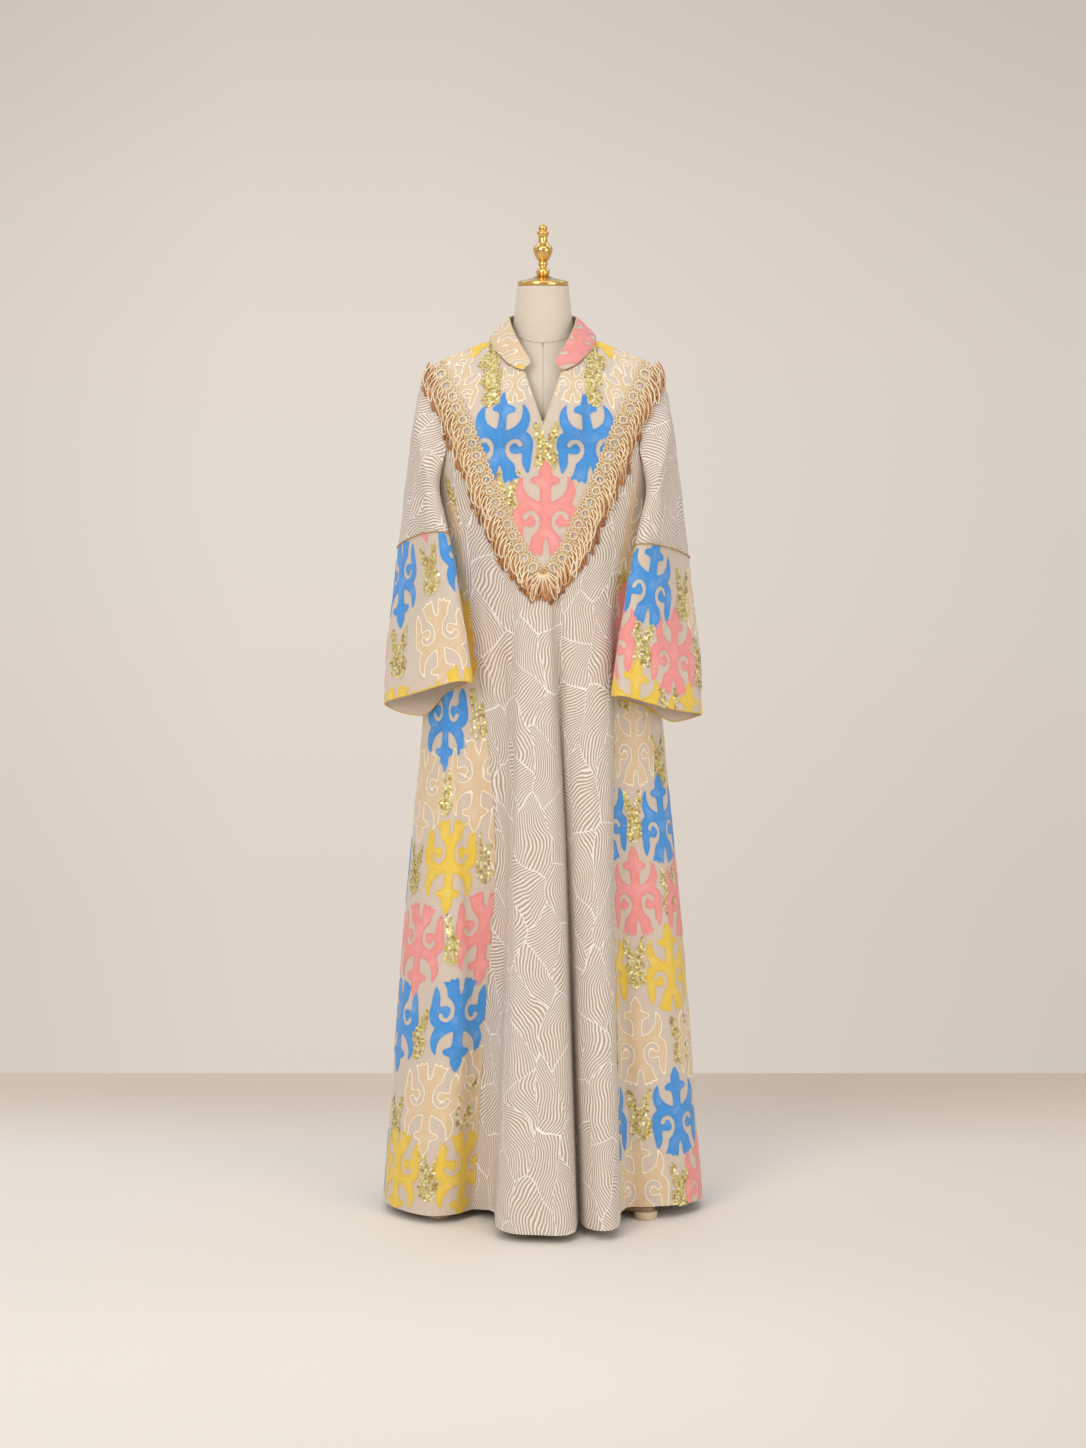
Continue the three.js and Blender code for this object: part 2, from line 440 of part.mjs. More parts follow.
// ---------------------------------------------------------------- cutting with manifold-3d
const wasm = await Module();
wasm.setup();
function toManifold(geometry) {
  const plain = geometry.clone();
  plain.deleteAttribute('normal');
  plain.deleteAttribute('uv');
  const merged = mergeVertices(plain, 1e-4);
  return new wasm.Manifold(new wasm.Mesh({
    numProp: 3,
    vertProperties: new Float32Array(merged.attributes.position.array),
    triVerts: new Uint32Array(merged.index.array),
  }));
}
function fromManifold(solid) {
  const mesh = solid.getMesh();
  const g = new THREE.BufferGeometry();
  g.setAttribute('position', new THREE.Float32BufferAttribute(mesh.vertProperties, 3));
  g.setIndex(Array.from(mesh.triVerts));
  return g;
}
// An outline in X and Z, extruded from y0 to y1.
function prism(outline, y0, y1) {
  const shape = new THREE.Shape(outline.map(([x, z]) => new THREE.Vector2(x, z)));
  const g = new THREE.ExtrudeGeometry(shape, { depth: y1 - y0, bevelEnabled: false });
  g.rotateX(Math.PI / 2);           // shape's Y becomes Z, the depth runs to -Y
  g.translate(0, y1, 0);
  return toManifold(g);
}

// ---------------------------------------------------------------- front and back panels
const armholePoint = (depth, q) => [`${depth}X`, `${depth}Y`, 'z'].map((name) => column(ARMHOLE, 'rise', name, q));
// Rows below CHEST_Z follow the rings, rows above run up to the shoulder and the neckline.
function upperGrid(baseRow, top, side, rises) {
  const cols = baseRow.length;
  let length = [0];
  for (let c = 1; c < cols; c += 1) length.push(length[c - 1] + Math.hypot(...sub(baseRow[c], baseRow[c - 1])));
  let middle = 0;
  for (let c = 1; c < cols; c += 1) {
    if (baseRow[c - 1][0] * baseRow[c][0] <= 0 && baseRow[c - 1][0] !== baseRow[c][0]) {
      middle = lerp(length[c - 1], length[c], baseRow[c - 1][0] / (baseRow[c - 1][0] - baseRow[c][0]));
    }
  }
  const total = length[cols - 1];
  return rises.map((v) => baseRow.map((p, c) => {
    // s runs -1 .. 1 across the panel, measured along the row from its middle
    let s = length[c] < middle ? (length[c] - middle) / middle : (length[c] - middle) / (total - middle);
    if (side > 0) s = -s;
    const share = Math.abs(s);
    const sign = s < 0 ? -1 : 1;
    const t = [sign * column(top, 'share', 'x', share), column(top, 'share', 'y', share), column(top, 'share', 'z', share)];
    const depth = side < 0 ? 'front' : 'back';
    const armhole = (q) => armholePoint(depth, q);
    const a0 = armhole(0);
    const a1 = armhole(1);
    const a = armhole(v);
    const near = share ** 3.2;
    const dev = [a[0] - lerp(a0[0], a1[0], v), a[1] - lerp(a0[1], a1[1], v), a[2] - lerp(a0[2], a1[2], v)];
    const full = side < 0
      ? lerp(CHEST_BULGE.middle, CHEST_BULGE.shoulder, smooth(share / 0.42)) * (1 - near)
      : CHEST_BULGE.back * smooth(0.35 + share / 0.5) * (1 - near);
    return [
      lerp(p[0], t[0], v) + sign * dev[0] * near,
      lerp(p[1], t[1], v) + dev[1] * near + side * full * Math.sin(Math.PI * v ** 0.9),
      lerp(p[2], t[2], v) + dev[2] * near,
    ];
  }));
}
const FRONT_STEPS = [1, 1, 1, 1, 1, 2, 1, 1, 1, 1, 1, 1, 1, 1, 1, 1, 1];
const BACK_STEPS = [1, 2, 2, 1, 1, 1, 1, 2, 2, 1];
const SIDE_STEPS_RIGHT = [1, 1, 2, 1, 1, 1, 2, 1, 1];
const SIDE_STEPS_LEFT = [1, 1, 2, 1, 1, 1, 2, 2, 1, 1];
const SKIRT_ROWS = [0, 0.06, 0.16, 0.28, 0.41, 0.54, 0.67, 0.79, 0.88, 0.945, 1];
const UPPER_ROWS = [0.14, 0.3, 0.46, 0.62, 0.78, 0.91, 1];

// The hem follows HEM, so each point's own height is found from its place round the ring.
function bodyGrid(panel, steps, side, top) {
  const hemRow = panelRow(panel, () => 16, steps);
  const grid = SKIRT_ROWS.map((share) => {
    let k = -1;
    const row = panelRow(panel, () => {
      k += 1;
      const h = hemAt(hemRow[k][0], hemRow[k][1]);
      return lerp(h, CHEST_Z, share);
    }, steps);
    row.ends = endTangents(panel, steps, row[0][2], row[row.length - 1][2]);
    return row;
  });
  return [...grid, ...upperGrid(grid[grid.length - 1], top, side, UPPER_ROWS)];
}
const frontGrid = bodyGrid('front', FRONT_STEPS, -1, FRONT_TOP);
const backGrid = bodyGrid('back', BACK_STEPS, 1, BACK_TOP);

// A side panel's top edge is the lower half of the armhole.
function sideGrid(panel, steps) {
  const hemRow = panelRow(panel, () => 16, steps);
  const total = hemRow.length - 1;
  return SKIRT_ROWS.map((share) => {
    let k = -1;
    const row = panelRow(panel, () => {
      k += 1;
      const across = k / total;
      const topZ = UNDERARM_Z + (CHEST_Z - 0.5 - UNDERARM_Z) * Math.abs(2 * across - 1) ** 1.7;
      return lerp(hemAt(hemRow[k][0], hemRow[k][1]), topZ, share);
    }, steps);
    row.ends = endTangents(panel, steps, row[0][2], row[row.length - 1][2]);
    return row;
  });
}
// Pull the first and last columns of a grid in by half a seam gap.
function trimSides(grid, gap) {
  return grid.map((row) => {
    const out = row.map((p) => [...p]);
    const n = row.length;
    const a = row.ends ? row.ends[0] : unit(sub(row[1], row[0]));
    const b = row.ends ? row.ends[1] : unit(sub(row[n - 1], row[n - 2]));
    out[0] = add(row[0], a, gap / 2);
    out[n - 1] = add(row[n - 1], b, -gap / 2);
    out.ends = row.ends;
    return out;
  });
}
const frontWall = wall(trimSides(frontGrid, SEAM_GAP), 0, -CLOTH_WALL);
const backWall = wall(trimSides(backGrid, SEAM_GAP), 0, -CLOTH_WALL);
const rightGrid = sideGrid('right', SIDE_STEPS_RIGHT);
const leftGrid = sideGrid('left', SIDE_STEPS_LEFT);

// Regions of the front, seen from the front.
const vHalf = (name, shift) => YOKE_V.map((row) => [row[name] + shift, row.z]);
function vOutline(name, shift, close = 1600) {
  const right = [];
  for (let i = 0; i < YOKE_V.length - 1; i += 1) {
    const [x0, z0] = vHalf(name, shift)[i];
    const [x1, z1] = vHalf(name, shift)[i + 1];
    if (x0 > 0) right.push([x0, z0]);
    if (x0 > 0 && x1 <= 0) right.push([0, lerp(z0, z1, x0 / (x0 - x1))]);
  }
  const left = right.slice(0, -1).reverse().map(([x, z]) => [-x, z]);
  return [[right[0][0], close], ...right, ...left, [-right[0][0], close]];
}
const slitPrism = prism([[-SLIT.topHalf, 1600], [-SLIT.topHalf, SLIT.topZ - 4], [0, SLIT.foot], [SLIT.topHalf, SLIT.topZ - 4], [SLIT.topHalf, 1600]], -400, 0);
const front = toManifold(frontWall);
// The shoulder seams lie in the plane of the form's middle.
const frontSide = prism([[-400, -10], [400, -10], [400, 1700], [-400, 1700]], -400, -SEAM_GAP / 2);
const backSide = prism([[-400, -10], [400, -10], [400, 1700], [-400, 1700]], SEAM_GAP / 2, 400);
const yoke = front.intersect(prism(vOutline('seam', -SEAM_GAP / 2), -400, 60)).subtract(slitPrism).intersect(frontSide);
const frontPanel = front.subtract(prism(vOutline('seam', SEAM_GAP / 2), -400, 60)).intersect(frontSide);
const backPanel = toManifold(orient(backWall)).intersect(backSide);
// What lies on the front is the front's own surface moved out, cut to its own outline.
const trimShell = toManifold(wall(trimSides(frontGrid, 1.2), SEAM_GAP + TRIM_WALL, SEAM_GAP));
const fringeShell = toManifold(wall(trimSides(frontGrid, 1.2), SEAM_GAP + FRINGE_WALL, SEAM_GAP));
const rightHalf = prism([[0.15, 0], [400, 0], [400, 1600], [0.15, 1600]], -400, -SEAM_GAP / 2);
const leftHalf = prism([[-400, 0], [-0.15, 0], [-0.15, 1600], [-400, 1600]], -400, -SEAM_GAP / 2);
const band = trimShell.intersect(prism(vOutline('outer', 0), -400, 60)).subtract(prism(vOutline('inner', 0), -400, 60));
const fringe = fringeShell.intersect(prism(vOutline('fringe', 0), -400, 60)).subtract(prism(vOutline('outer', SEAM_GAP), -400, 60));

// ---------------------------------------------------------------- sleeves
const SLEEVE_SIDES = 24;
// The armhole loop for a sleeve: front edge, over the tip, down the back and under the arm.
function armholeLoop(spec, phi) {
  const sign = spec.side;
  const grid = sign > 0 ? rightGrid : leftGrid;
  const top = grid[grid.length - 1];
  const line = [];                         // in order: front low -> tip -> back low -> under the arm
  const frontUp = [0, 0.15, 0.3, 0.45, 0.6, 0.75, 0.88];
  const push = ([x, y, z]) => line.push([sign * x, y, z]);
  for (const q of frontUp) push(armholePoint('front', q));
  push(armholePoint('front', 1));
  for (const q of [...frontUp].reverse()) push(armholePoint('back', q));
  // under the arm: from the back seam round to the front seam
  const under = sign > 0 ? [...top].reverse() : [...top];
  for (const p of under.slice(1, -1)) line.push([p[0], p[1], p[2]]);
  // phi 0 is the first point, 90 the tip, 180 the back, 270 under the arm
  const tip = frontUp.length;
  const back = 2 * frontUp.length;
  const n = line.length;
  const turn = ((phi % 360) + 360) % 360;
  const marks = [[0, 0], [90, tip], [180, back], [270, back + (n - back) / 2], [360, n]];
  let m = 0;
  while (m < 3 && turn > marks[m + 1][0]) m += 1;
  const at = lerp(marks[m][1], marks[m + 1][1], (turn - marks[m][0]) / 90);
  const i = Math.floor(at) % n;
  const j = (i + 1) % n;
  const q = at - Math.floor(at);
  return line[i].map((v, c) => lerp(v, line[j][c], q));
}
function sleevePoint(spec, phi, z) {
  const get = (name) => column([...SLEEVE].reverse(), 'z', name, z);
  const a = (get('turn') * Math.PI) / 180;
  const rad = (phi * Math.PI) / 180;
  const p = 2 / 2.4;                        // a flattened, slightly boxy ring
  const cc = Math.sign(Math.cos(rad)) * Math.abs(Math.cos(rad)) ** 1;
  const ss = Math.sign(Math.sin(rad)) * Math.abs(Math.sin(rad)) ** p;
  const u = get('wide') * cc;
  const v = get('thick') * ss;
  const x = -get('cx') + u * Math.cos(a) - v * Math.sin(a);
  const y = get('cy') - u * Math.sin(a) - v * Math.cos(a);
  return [spec.side < 0 ? x : -x, y];
}
// Height of the cuff seam or the cuff's hem at a ring angle.
function sleeveCut(spec, which, phi) {
  const rad = (phi * Math.PI) / 180;
  // next to the body the back of the hem is drawn up
  const turn = ((phi % 360) + 360) % 360;
  const lifted = which === 'hem' ? Math.max(0, -Math.sin(rad)) * smooth((turn - spec.liftFrom) / 40) : 0;
  return spec[`${which}Middle`] + spec[`${which}Inner`] * Math.cos(rad) + spec[`${which}Front`] * Math.sin(rad)
    + spec[`${which}Edges`] * Math.cos(2 * rad) + spec.hemLift * lifted;
}

// Plan outline of the body at a height, and a point's distance outside it (negative inside).
const outlines = new Map();
function bodyOutline(z) {
  const key = Math.round(z);
  if (!outlines.has(key)) {
    const at = Math.min(CHEST_Z, key);
    const line = [];
    for (const [panel, steps] of [['front', FRONT_STEPS], ['right', SIDE_STEPS_RIGHT], ['back', BACK_STEPS], ['left', SIDE_STEPS_LEFT]]) {
      line.push(...panelRow(panel, () => at, steps.map((n) => 2 * n)).slice(0, -1));
    }
    outlines.set(key, line);
  }
  return outlines.get(key);
}
function pushClear(x, y, z, gap) {
  const line = bodyOutline(z);
  let best = Infinity;
  let nearest = null;
  let inside = false;
  for (let i = 0; i < line.length; i += 1) {
    const [ax, ay] = line[i];
    const [bx, by] = line[(i + 1) % line.length];
    const q = clamp01(((x - ax) * (bx - ax) + (y - ay) * (by - ay)) / ((bx - ax) ** 2 + (by - ay) ** 2 || 1));
    const px = ax + (bx - ax) * q;
    const py = ay + (by - ay) * q;
    const d = Math.hypot(x - px, y - py);
    if (d < best) { best = d; nearest = [px, py, bx - ax, by - ay]; }
    if ((ay > y) !== (by > y) && x < ((bx - ax) * (y - ay)) / (by - ay) + ax) inside = !inside;
  }
  const signed = inside ? -best : best;
  if (signed >= gap) return [x, y];
  const l = Math.hypot(nearest[2], nearest[3]) || 1;
  const nx = nearest[3] / l;                 // the outline runs counter-clockwise, so this points out
  const ny = -nearest[2] / l;
  return [nearest[0] + nx * gap, nearest[1] + ny * gap];
}
function sleeveGrid(spec) {
  const phis = Array.from({ length: SLEEVE_SIDES }, (_, i) => (360 * i) / SLEEVE_SIDES);
  const upper = [0, 0.03, 0.1, 0.2, 0.34, 0.5, 0.66, 0.83, 1];
  const lower = [0, 0.25, 0.5, 0.75, 1];
  const cap = (phi, q) => {
    const loop = armholeLoop(spec, phi);
    const outward = Math.max(0, Math.sin((phi * Math.PI) / 180));
    const zTo = sleeveCut(spec, 'seam', phi);
    const z = lerp(loop[2], zTo, q);
    const [x, y] = sleevePoint(spec, phi, z);
    const k = smooth(q / lerp(0.5, 0.16, outward));
    const off = 1.5 + 0.3 * smooth(q / 0.1);
    const under = Math.max(0, -Math.sin((phi * Math.PI) / 180));
    const here = [lerp(loop[0] + spec.side * off, x, k), lerp(loop[1], y, k)];
    if (z > CHEST_Z - 4) return [...here, z];
    const gap = lerp(0.6 + under * 0.6, CLEAR_OF_BODY, smooth(q / 0.2));
    return [...pushClear(here[0], here[1], z, gap), z];
  };
  const top = upper.map((q) => phis.map((phi) => cap(phi, q)));
  const cuff = lower.map((q) => phis.map((phi) => {
    const z = lerp(sleeveCut(spec, 'seam', phi), sleeveCut(spec, 'hem', phi), q);
    const [x, y] = sleevePoint(spec, phi, z);
    return [...pushClear(x, y, z, CLEAR_OF_BODY), z];
  }));
  // rows run upwards, rings run counter-clockwise seen from above
  const order = (grid) => {
    const rows = [...grid].reverse();
    return spec.side > 0 ? rows : rows.map((r) => [r[0], ...r.slice(1).reverse()]);
  };
  return { top: order(top), cuff: order(cuff) };
}
const shiftRow = (grid, r, dz) => grid.map((row, i) => (i === (r + grid.length) % grid.length ? row.map((p) => [p[0], p[1], p[2] + dz]) : row));
function sleeveParts(spec) {
  const g = sleeveGrid(spec);
  const cuffTop = g.cuff[g.cuff.length - 1];
  return {
    upper: wall(shiftRow(g.top, 0, SEAM_GAP / 2), 0, -CLOTH_WALL, true),
    cuff: wall(shiftRow(g.cuff, -1, -SEAM_GAP / 2), 0, -CLOTH_WALL, true),
    seam: cuffTop,
    above: g.top[1],
  };
}
// A cord of eight sides along a closed ring of points.
function ringCord(ring, out, radius) {
  const n = ring.length;
  const middle = ring.reduce((m, p) => add(m, p, 1 / n), [0, 0, 0]);
  const sides = 6;
  const at = [];
  for (let i = 0; i < n; i += 1) {
    const along = unit(sub(ring[(i + 1) % n], ring[(i + n - 1) % n]));
    const up = [0, 0, 1];
    let outward = unit(cross(along, up));
    if ((ring[i][0] - middle[0]) * outward[0] + (ring[i][1] - middle[1]) * outward[1] < 0) outward = outward.map((v) => -v);
    const second = unit(cross(outward, along));
    for (let k = 0; k < sides; k += 1) {
      const a = (2 * Math.PI * k) / sides;
      at.push(add(add(ring[i], outward, out + radius * Math.cos(a)), second, radius * Math.sin(a)));
    }
  }
  const tris = [];
  for (let i = 0; i < n; i += 1) {
    for (let k = 0; k < sides; k += 1) {
      const a = i * sides + k;
      const b = i * sides + ((k + 1) % sides);
      const c = ((i + 1) % n) * sides + k;
      const d = ((i + 1) % n) * sides + ((k + 1) % sides);
      tris.push([a, b, d], [a, d, c]);
    }
  }
  return orient(solidFrom(at, tris));
}
// Turn a closed solid's faces outwards.
function orient(g) {
  const p = g.attributes.position.array;
  const ix = g.index.array;
  let volume = 0;
  for (let i = 0; i < ix.length; i += 3) {
    const [a, b, c] = [0, 1, 2].map((k) => [p[3 * ix[i + k]], p[3 * ix[i + k] + 1], p[3 * ix[i + k] + 2]]);
    const n = cross(b, c);
    volume += a[0] * n[0] + a[1] * n[1] + a[2] * n[2];
  }
  if (volume < 0) {
    const flipped = Array.from(ix);
    for (let i = 0; i < flipped.length; i += 3) [flipped[i + 1], flipped[i + 2]] = [flipped[i + 2], flipped[i + 1]];
    g.setIndex(flipped);
  }
  return g;
}

// ---------------------------------------------------------------- collar
function collarGrid() {
  const shares = [0, 0.03, 0.1, 0.22, 0.34, 0.44, 0.6, 0.78, 1];
  const fine = [];
  shares.forEach((s, i) => { fine.push(s); if (i < shares.length - 1) fine.push((s + shares[i + 1]) / 2); });
  const order = [...fine.map((s) => [1, s]), ...fine.slice(0, -1).reverse().map((s) => [-1, s])];
  const rows = [0, 0.5, 1];
  return rows.map((q) => order.map(([sign, share]) => {
    const get = (name) => column(COLLAR, 'share', name, share);
    // the cloth curves: it stands up at the base and leans in towards the top
    const lean = q ** 1.25;
    return [
      sign * lerp(get('baseX'), get('topX'), lean),
      lerp(get('baseY'), get('topY'), lean),
      lerp(get('baseZ') + 0.6, get('topZ'), q),
    ];
  }));
}
const collar = orient(wall(collarGrid(), COLLAR_WALL / 2, -COLLAR_WALL / 2));

// ---------------------------------------------------------------- form and stand
const FORM_SIDES = 28;
function formRing(row) {
  return Array.from({ length: FORM_SIDES }, (_, i) => {
    const a = (2 * Math.PI * i) / FORM_SIDES;
    const depth = Math.sin(a) < 0 ? row.front : row.back;
    return [row.halfWidth * Math.cos(a), row.cy + depth * Math.sin(a), row.z];
  });
}
const formRows = [];
for (let i = 0; i < FORM.length - 1; i += 1) {
  const steps = FORM[i + 1].z - FORM[i].z > 60 ? 2 : 1;
  for (let k = 0; k < steps; k += 1) {
    const z = lerp(FORM[i].z, FORM[i + 1].z, k / steps);
    formRows.push({ z, ...Object.fromEntries(['halfWidth', 'front', 'back', 'cy'].map((n) => [n, column(FORM, 'z', n, z)])) });
  }
}
formRows.push(FORM[FORM.length - 1]);

function lathe(points, sides) {
  const g = new THREE.LatheGeometry(points.map(([r, z]) => new THREE.Vector2(r, z)), sides);
  g.rotateX(Math.PI / 2);
  return orient(mergeVertices((() => { g.deleteAttribute('normal'); g.deleteAttribute('uv'); return g; })(), 1e-4));
}
const finialProfile = [[0, CAP.dome + 0.3], ...FINIAL.map((p) => [p.r, p.z]), [0, FINIAL_TOP]];
const capProfile = [[0, CAP.z0], [CAP.radius - 1.5, CAP.z0], [CAP.radius, CAP.z0 + 1.5], [CAP.radius, CAP.z1 - 2], [CAP.radius - 2, CAP.z1],
  [CAP.radius * 0.72, CAP.z1 + 2.6], [CAP.radius * 0.4, CAP.dome - 1.4], [13, CAP.dome], [0, CAP.dome]];
const poleProfile = [[0, POLE.z0], [POLE.radius, POLE.z0], [POLE.radius, POLE.z1], [0, POLE.z1]];
const hubProfile = [[0, HUB.z0], [HUB.radius - 3, HUB.z0], [HUB.radius, HUB.z0 + 3], [HUB.radius, HUB.z1 - 10], [HUB.radius - 6, HUB.z1 - 3],
  [POLE.radius + 6, HUB.z1], [0, HUB.z1]];
function legSolid(turn) {
  // a flat beam with rounded upper edges, from the hub to over its foot
  const a = (turn * Math.PI) / 180;
  const along = [Math.cos(a), Math.sin(a), 0];
  const across = [-Math.sin(a), Math.cos(a), 0];
  const section = (reach, half, z1) => [
    [-half, LEG.z0], [half, LEG.z0], [half, z1 - 4], [half - 4, z1], [-half + 4, z1], [-half, z1 - 4],
  ].map(([w, z]) => add(add([0, 0, z], along, reach), across, w));
  const end = LEG.reach;
  const rings = [section(HUB.radius + SEAM_GAP + 1, LEG.width / 2, LEG.z1), section(end - 12, LEG.width / 2, LEG.z1 - 4),
    section(end, LEG.width / 2 - 1, LEG.z1 - 4.5), section(end + 10, LEG.width / 2 - 5, LEG.z1 - 6), section(end + 14, LEG.width / 2 - 9, LEG.z1 - 7)];
  return orient(loft(rings));
}
function footSolid(turn) {
  const a = (turn * Math.PI) / 180;
  const g = lathe([[0, 0], [LEG.footRadius - 1, 0], [LEG.footRadius, 1], [LEG.footRadius, LEG.footHeight - 1], [LEG.footRadius - 1, LEG.footHeight], [0, LEG.footHeight]], 24);
  g.translate(LEG.reach * Math.cos(a), LEG.reach * Math.sin(a), 0);
  return g;
}

// ---------------------------------------------------------------- the scene graph
const group = new THREE.Group();
group.name = 'abaya_on_dress_form';
function piece(name, geometry, colour, roughness, metalness = 0) {
  const mesh = new THREE.Mesh(geometry, new THREE.MeshStandardMaterial({ color: colour, roughness, metalness }));
  mesh.name = name;
  group.add(mesh);
}
const LEAF_CLOTH = 0xcbbcab;
const ORNAMENT_CLOTH = 0xcdbba8;
const BRAID = 0xe8cf9c;
const FRINGE = 0xb8804a;
const LINEN = 0xe2d2bc;
const GOLD = 0xd6a64a;
const STAND = 0xdccbb4;

piece('front_panel', fromManifold(frontPanel), LEAF_CLOTH, 0.8);
piece('back_panel', fromManifold(backPanel), LEAF_CLOTH, 0.8);
piece('side_panel_right', orient(wall(trimSides(rightGrid, SEAM_GAP), 0, -CLOTH_WALL)), ORNAMENT_CLOTH, 0.75);
piece('side_panel_left', orient(wall(trimSides(leftGrid, SEAM_GAP), 0, -CLOTH_WALL)), ORNAMENT_CLOTH, 0.75);
piece('yoke', fromManifold(yoke), ORNAMENT_CLOTH, 0.75);
piece('collar', collar, ORNAMENT_CLOTH, 0.75);
piece('braid_right', fromManifold(band.intersect(rightHalf)), BRAID, 0.7);
piece('braid_left', fromManifold(band.intersect(leftHalf)), BRAID, 0.7);
piece('fringe_right', fromManifold(fringe.intersect(rightHalf)), FRINGE, 0.8);
piece('fringe_left', fromManifold(fringe.intersect(leftHalf)), FRINGE, 0.8);
for (const [name, spec] of [['left', LEFT_SLEEVE], ['right', RIGHT_SLEEVE]]) {
  const parts = sleeveParts(spec);
  piece(`sleeve_upper_${name}`, orient(parts.upper), LEAF_CLOTH, 0.8);
  piece(`sleeve_cuff_${name}`, orient(parts.cuff), ORNAMENT_CLOTH, 0.75);
  piece(`piping_${name}`, ringCord(parts.seam, SEAM_GAP + PIPING_RADIUS + 0.25, PIPING_RADIUS), BRAID, 0.6);
}
piece('form_torso', orient(loft(formRows.map(formRing))), LINEN, 0.85);
piece('form_cap', lathe(capProfile, 32), GOLD, 0.25, 1);
piece('form_finial', lathe(finialProfile, 18), GOLD, 0.25, 1);
piece('stand_pole', lathe(poleProfile, POLE.sides), STAND, 0.6);
piece('stand_hub', lathe(hubProfile, 28), STAND, 0.6);
for (const leg of LEGS) {
  piece(`stand_leg_${leg.name}`, legSolid(leg.turn), STAND, 0.6);
  piece(`stand_foot_${leg.name}`, footSolid(leg.turn), STAND, 0.6);
}
export default group;
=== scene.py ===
# Abaya on a dress form: the looks.  Metres, the same frame as the packed model.
# Cloth is built as thin shells on the same forms as the packed solids, with creases placed one by one.
import bpy
import math
import random
import numpy as np
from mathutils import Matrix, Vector
from mathutils.bvhtree import BVHTree


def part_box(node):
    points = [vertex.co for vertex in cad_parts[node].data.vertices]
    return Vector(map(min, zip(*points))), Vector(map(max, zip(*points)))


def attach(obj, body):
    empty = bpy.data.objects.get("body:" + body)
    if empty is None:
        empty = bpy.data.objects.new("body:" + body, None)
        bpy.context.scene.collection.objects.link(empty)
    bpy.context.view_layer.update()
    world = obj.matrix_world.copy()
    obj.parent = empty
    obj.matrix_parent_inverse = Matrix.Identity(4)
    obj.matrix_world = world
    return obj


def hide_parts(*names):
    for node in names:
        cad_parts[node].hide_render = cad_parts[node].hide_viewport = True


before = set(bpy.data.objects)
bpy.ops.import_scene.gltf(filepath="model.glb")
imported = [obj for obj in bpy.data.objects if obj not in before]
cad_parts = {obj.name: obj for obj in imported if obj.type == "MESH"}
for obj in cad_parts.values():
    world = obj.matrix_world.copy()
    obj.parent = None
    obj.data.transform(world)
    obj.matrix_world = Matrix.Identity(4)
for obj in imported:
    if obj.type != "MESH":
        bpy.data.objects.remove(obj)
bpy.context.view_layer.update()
MM = 0.001
RNG = random.Random(7)

# ---------------------------------------------------------------- the part's own tables (millimetres)
def rows(keys, data):
    k = keys.split()
    return [dict(zip(k, r)) for r in data]

CLOTH_WALL = 1.6
SEAM_GAP = 0.3
CHEST_Z = 1300
UNDERARM_Z = 1202
FOLD_START_Z = 1123
TRIM_WALL = 2.4
FRINGE_WALL = 4.5
PIPING_RADIUS = 1.5
COLLAR_WALL = 2.2
CLEAR_OF_BODY = 5
FINIAL_TOP = 1668
BODY = rows('z halfWidth front back boxy', [
    (0, 274.5, 112, 165, 2.3),
    (206, 258.5, 110, 156, 2.25),
    (431, 241, 108, 147, 2.2),
    (654, 219.5, 107, 138, 2.1),
    (864, 200, 106, 129, 2),
    (1014, 190, 107, 121, 2),
    (1123, 185, 112, 114, 2.2),
    (1202, 182, 117, 110, 2.4),
    (1300, 183, 119, 106, 2.8),
])
FRONT_FOLDS = rows('xHem xLow xMid xHigh xTop out fade', [
    (-117, -99.5, -80, -120, -157.5, -24, 1.1),  # left seam
    (-98, -83.5, -70, -91, -118, -10, 1),  # left strip
    (-84, -69.5, -61, -65.5, -88.5, 10, 1),  # tube foot
    (-80, -66.5, -57.5, -55.5, -73, 58, 0.95),  # tube wall
    (-75, -61.5, -52, -44.5, -57, 102, 0.88),  # tube shoulder
    (-50.5, -40, -32, -26.5, -31.5, 126, 0.85),  # tube crest
    (-8, -4, -3, -5, -8, 133, 0.85),  # tube middle
    (30.5, 25, 18, 8, 6, 137, 0.86),  # tube crest 2
    (50.5, 41, 31.5, 15, 14, 121, 0.95),  # valley lip
    (56.5, 46, 36, 19, 19.5, 84, 1.15),  # valley wall
    (60.5, 50, 40, 24, 26.5, 52, 1.7),  # valley
    (64.5, 54.5, 45, 29.5, 34.5, 72, 1.2),  # valley wall 2
    (73, 62.5, 54, 39.5, 45.5, 98, 0.95),  # valley lip 2
    (93, 82.5, 76, 65.5, 73, 120, 0.85),  # crest right
    (112, 102.5, 96, 93, 102.5, 124, 0.86),  # crest right 2
    (124.5, 115.5, 110, 111, 126, 112, 0.92),  # right shoulder
    (129.5, 121.5, 116, 118, 144, 72, 1),  # right wall
    (131, 123.5, 118, 121, 157.5, 34, 1),  # right seam
])
RIGHT_SIDE_FOLDS = rows('side share shareTop out fade', [
    (-1, 0.535, 0.9, 0, 1),  # front hollow
    (-1, 0.66, 0.94, 9, 1.2),  # front flat
    (-1, 0.845, 0.975, 14, 1.2),  # front round
    (-1, 0.955, 0.994, 5, 1.2),  # front edge
    (1, 1, 1, 0, 1),  # side
    (1, 0.93, 0.985, 8, 1.2),  # back edge
    (1, 0.77, 0.93, 36, 1),  # back fold
    (1, 0.64, 0.86, 4, 1.2),  # back hollow
])
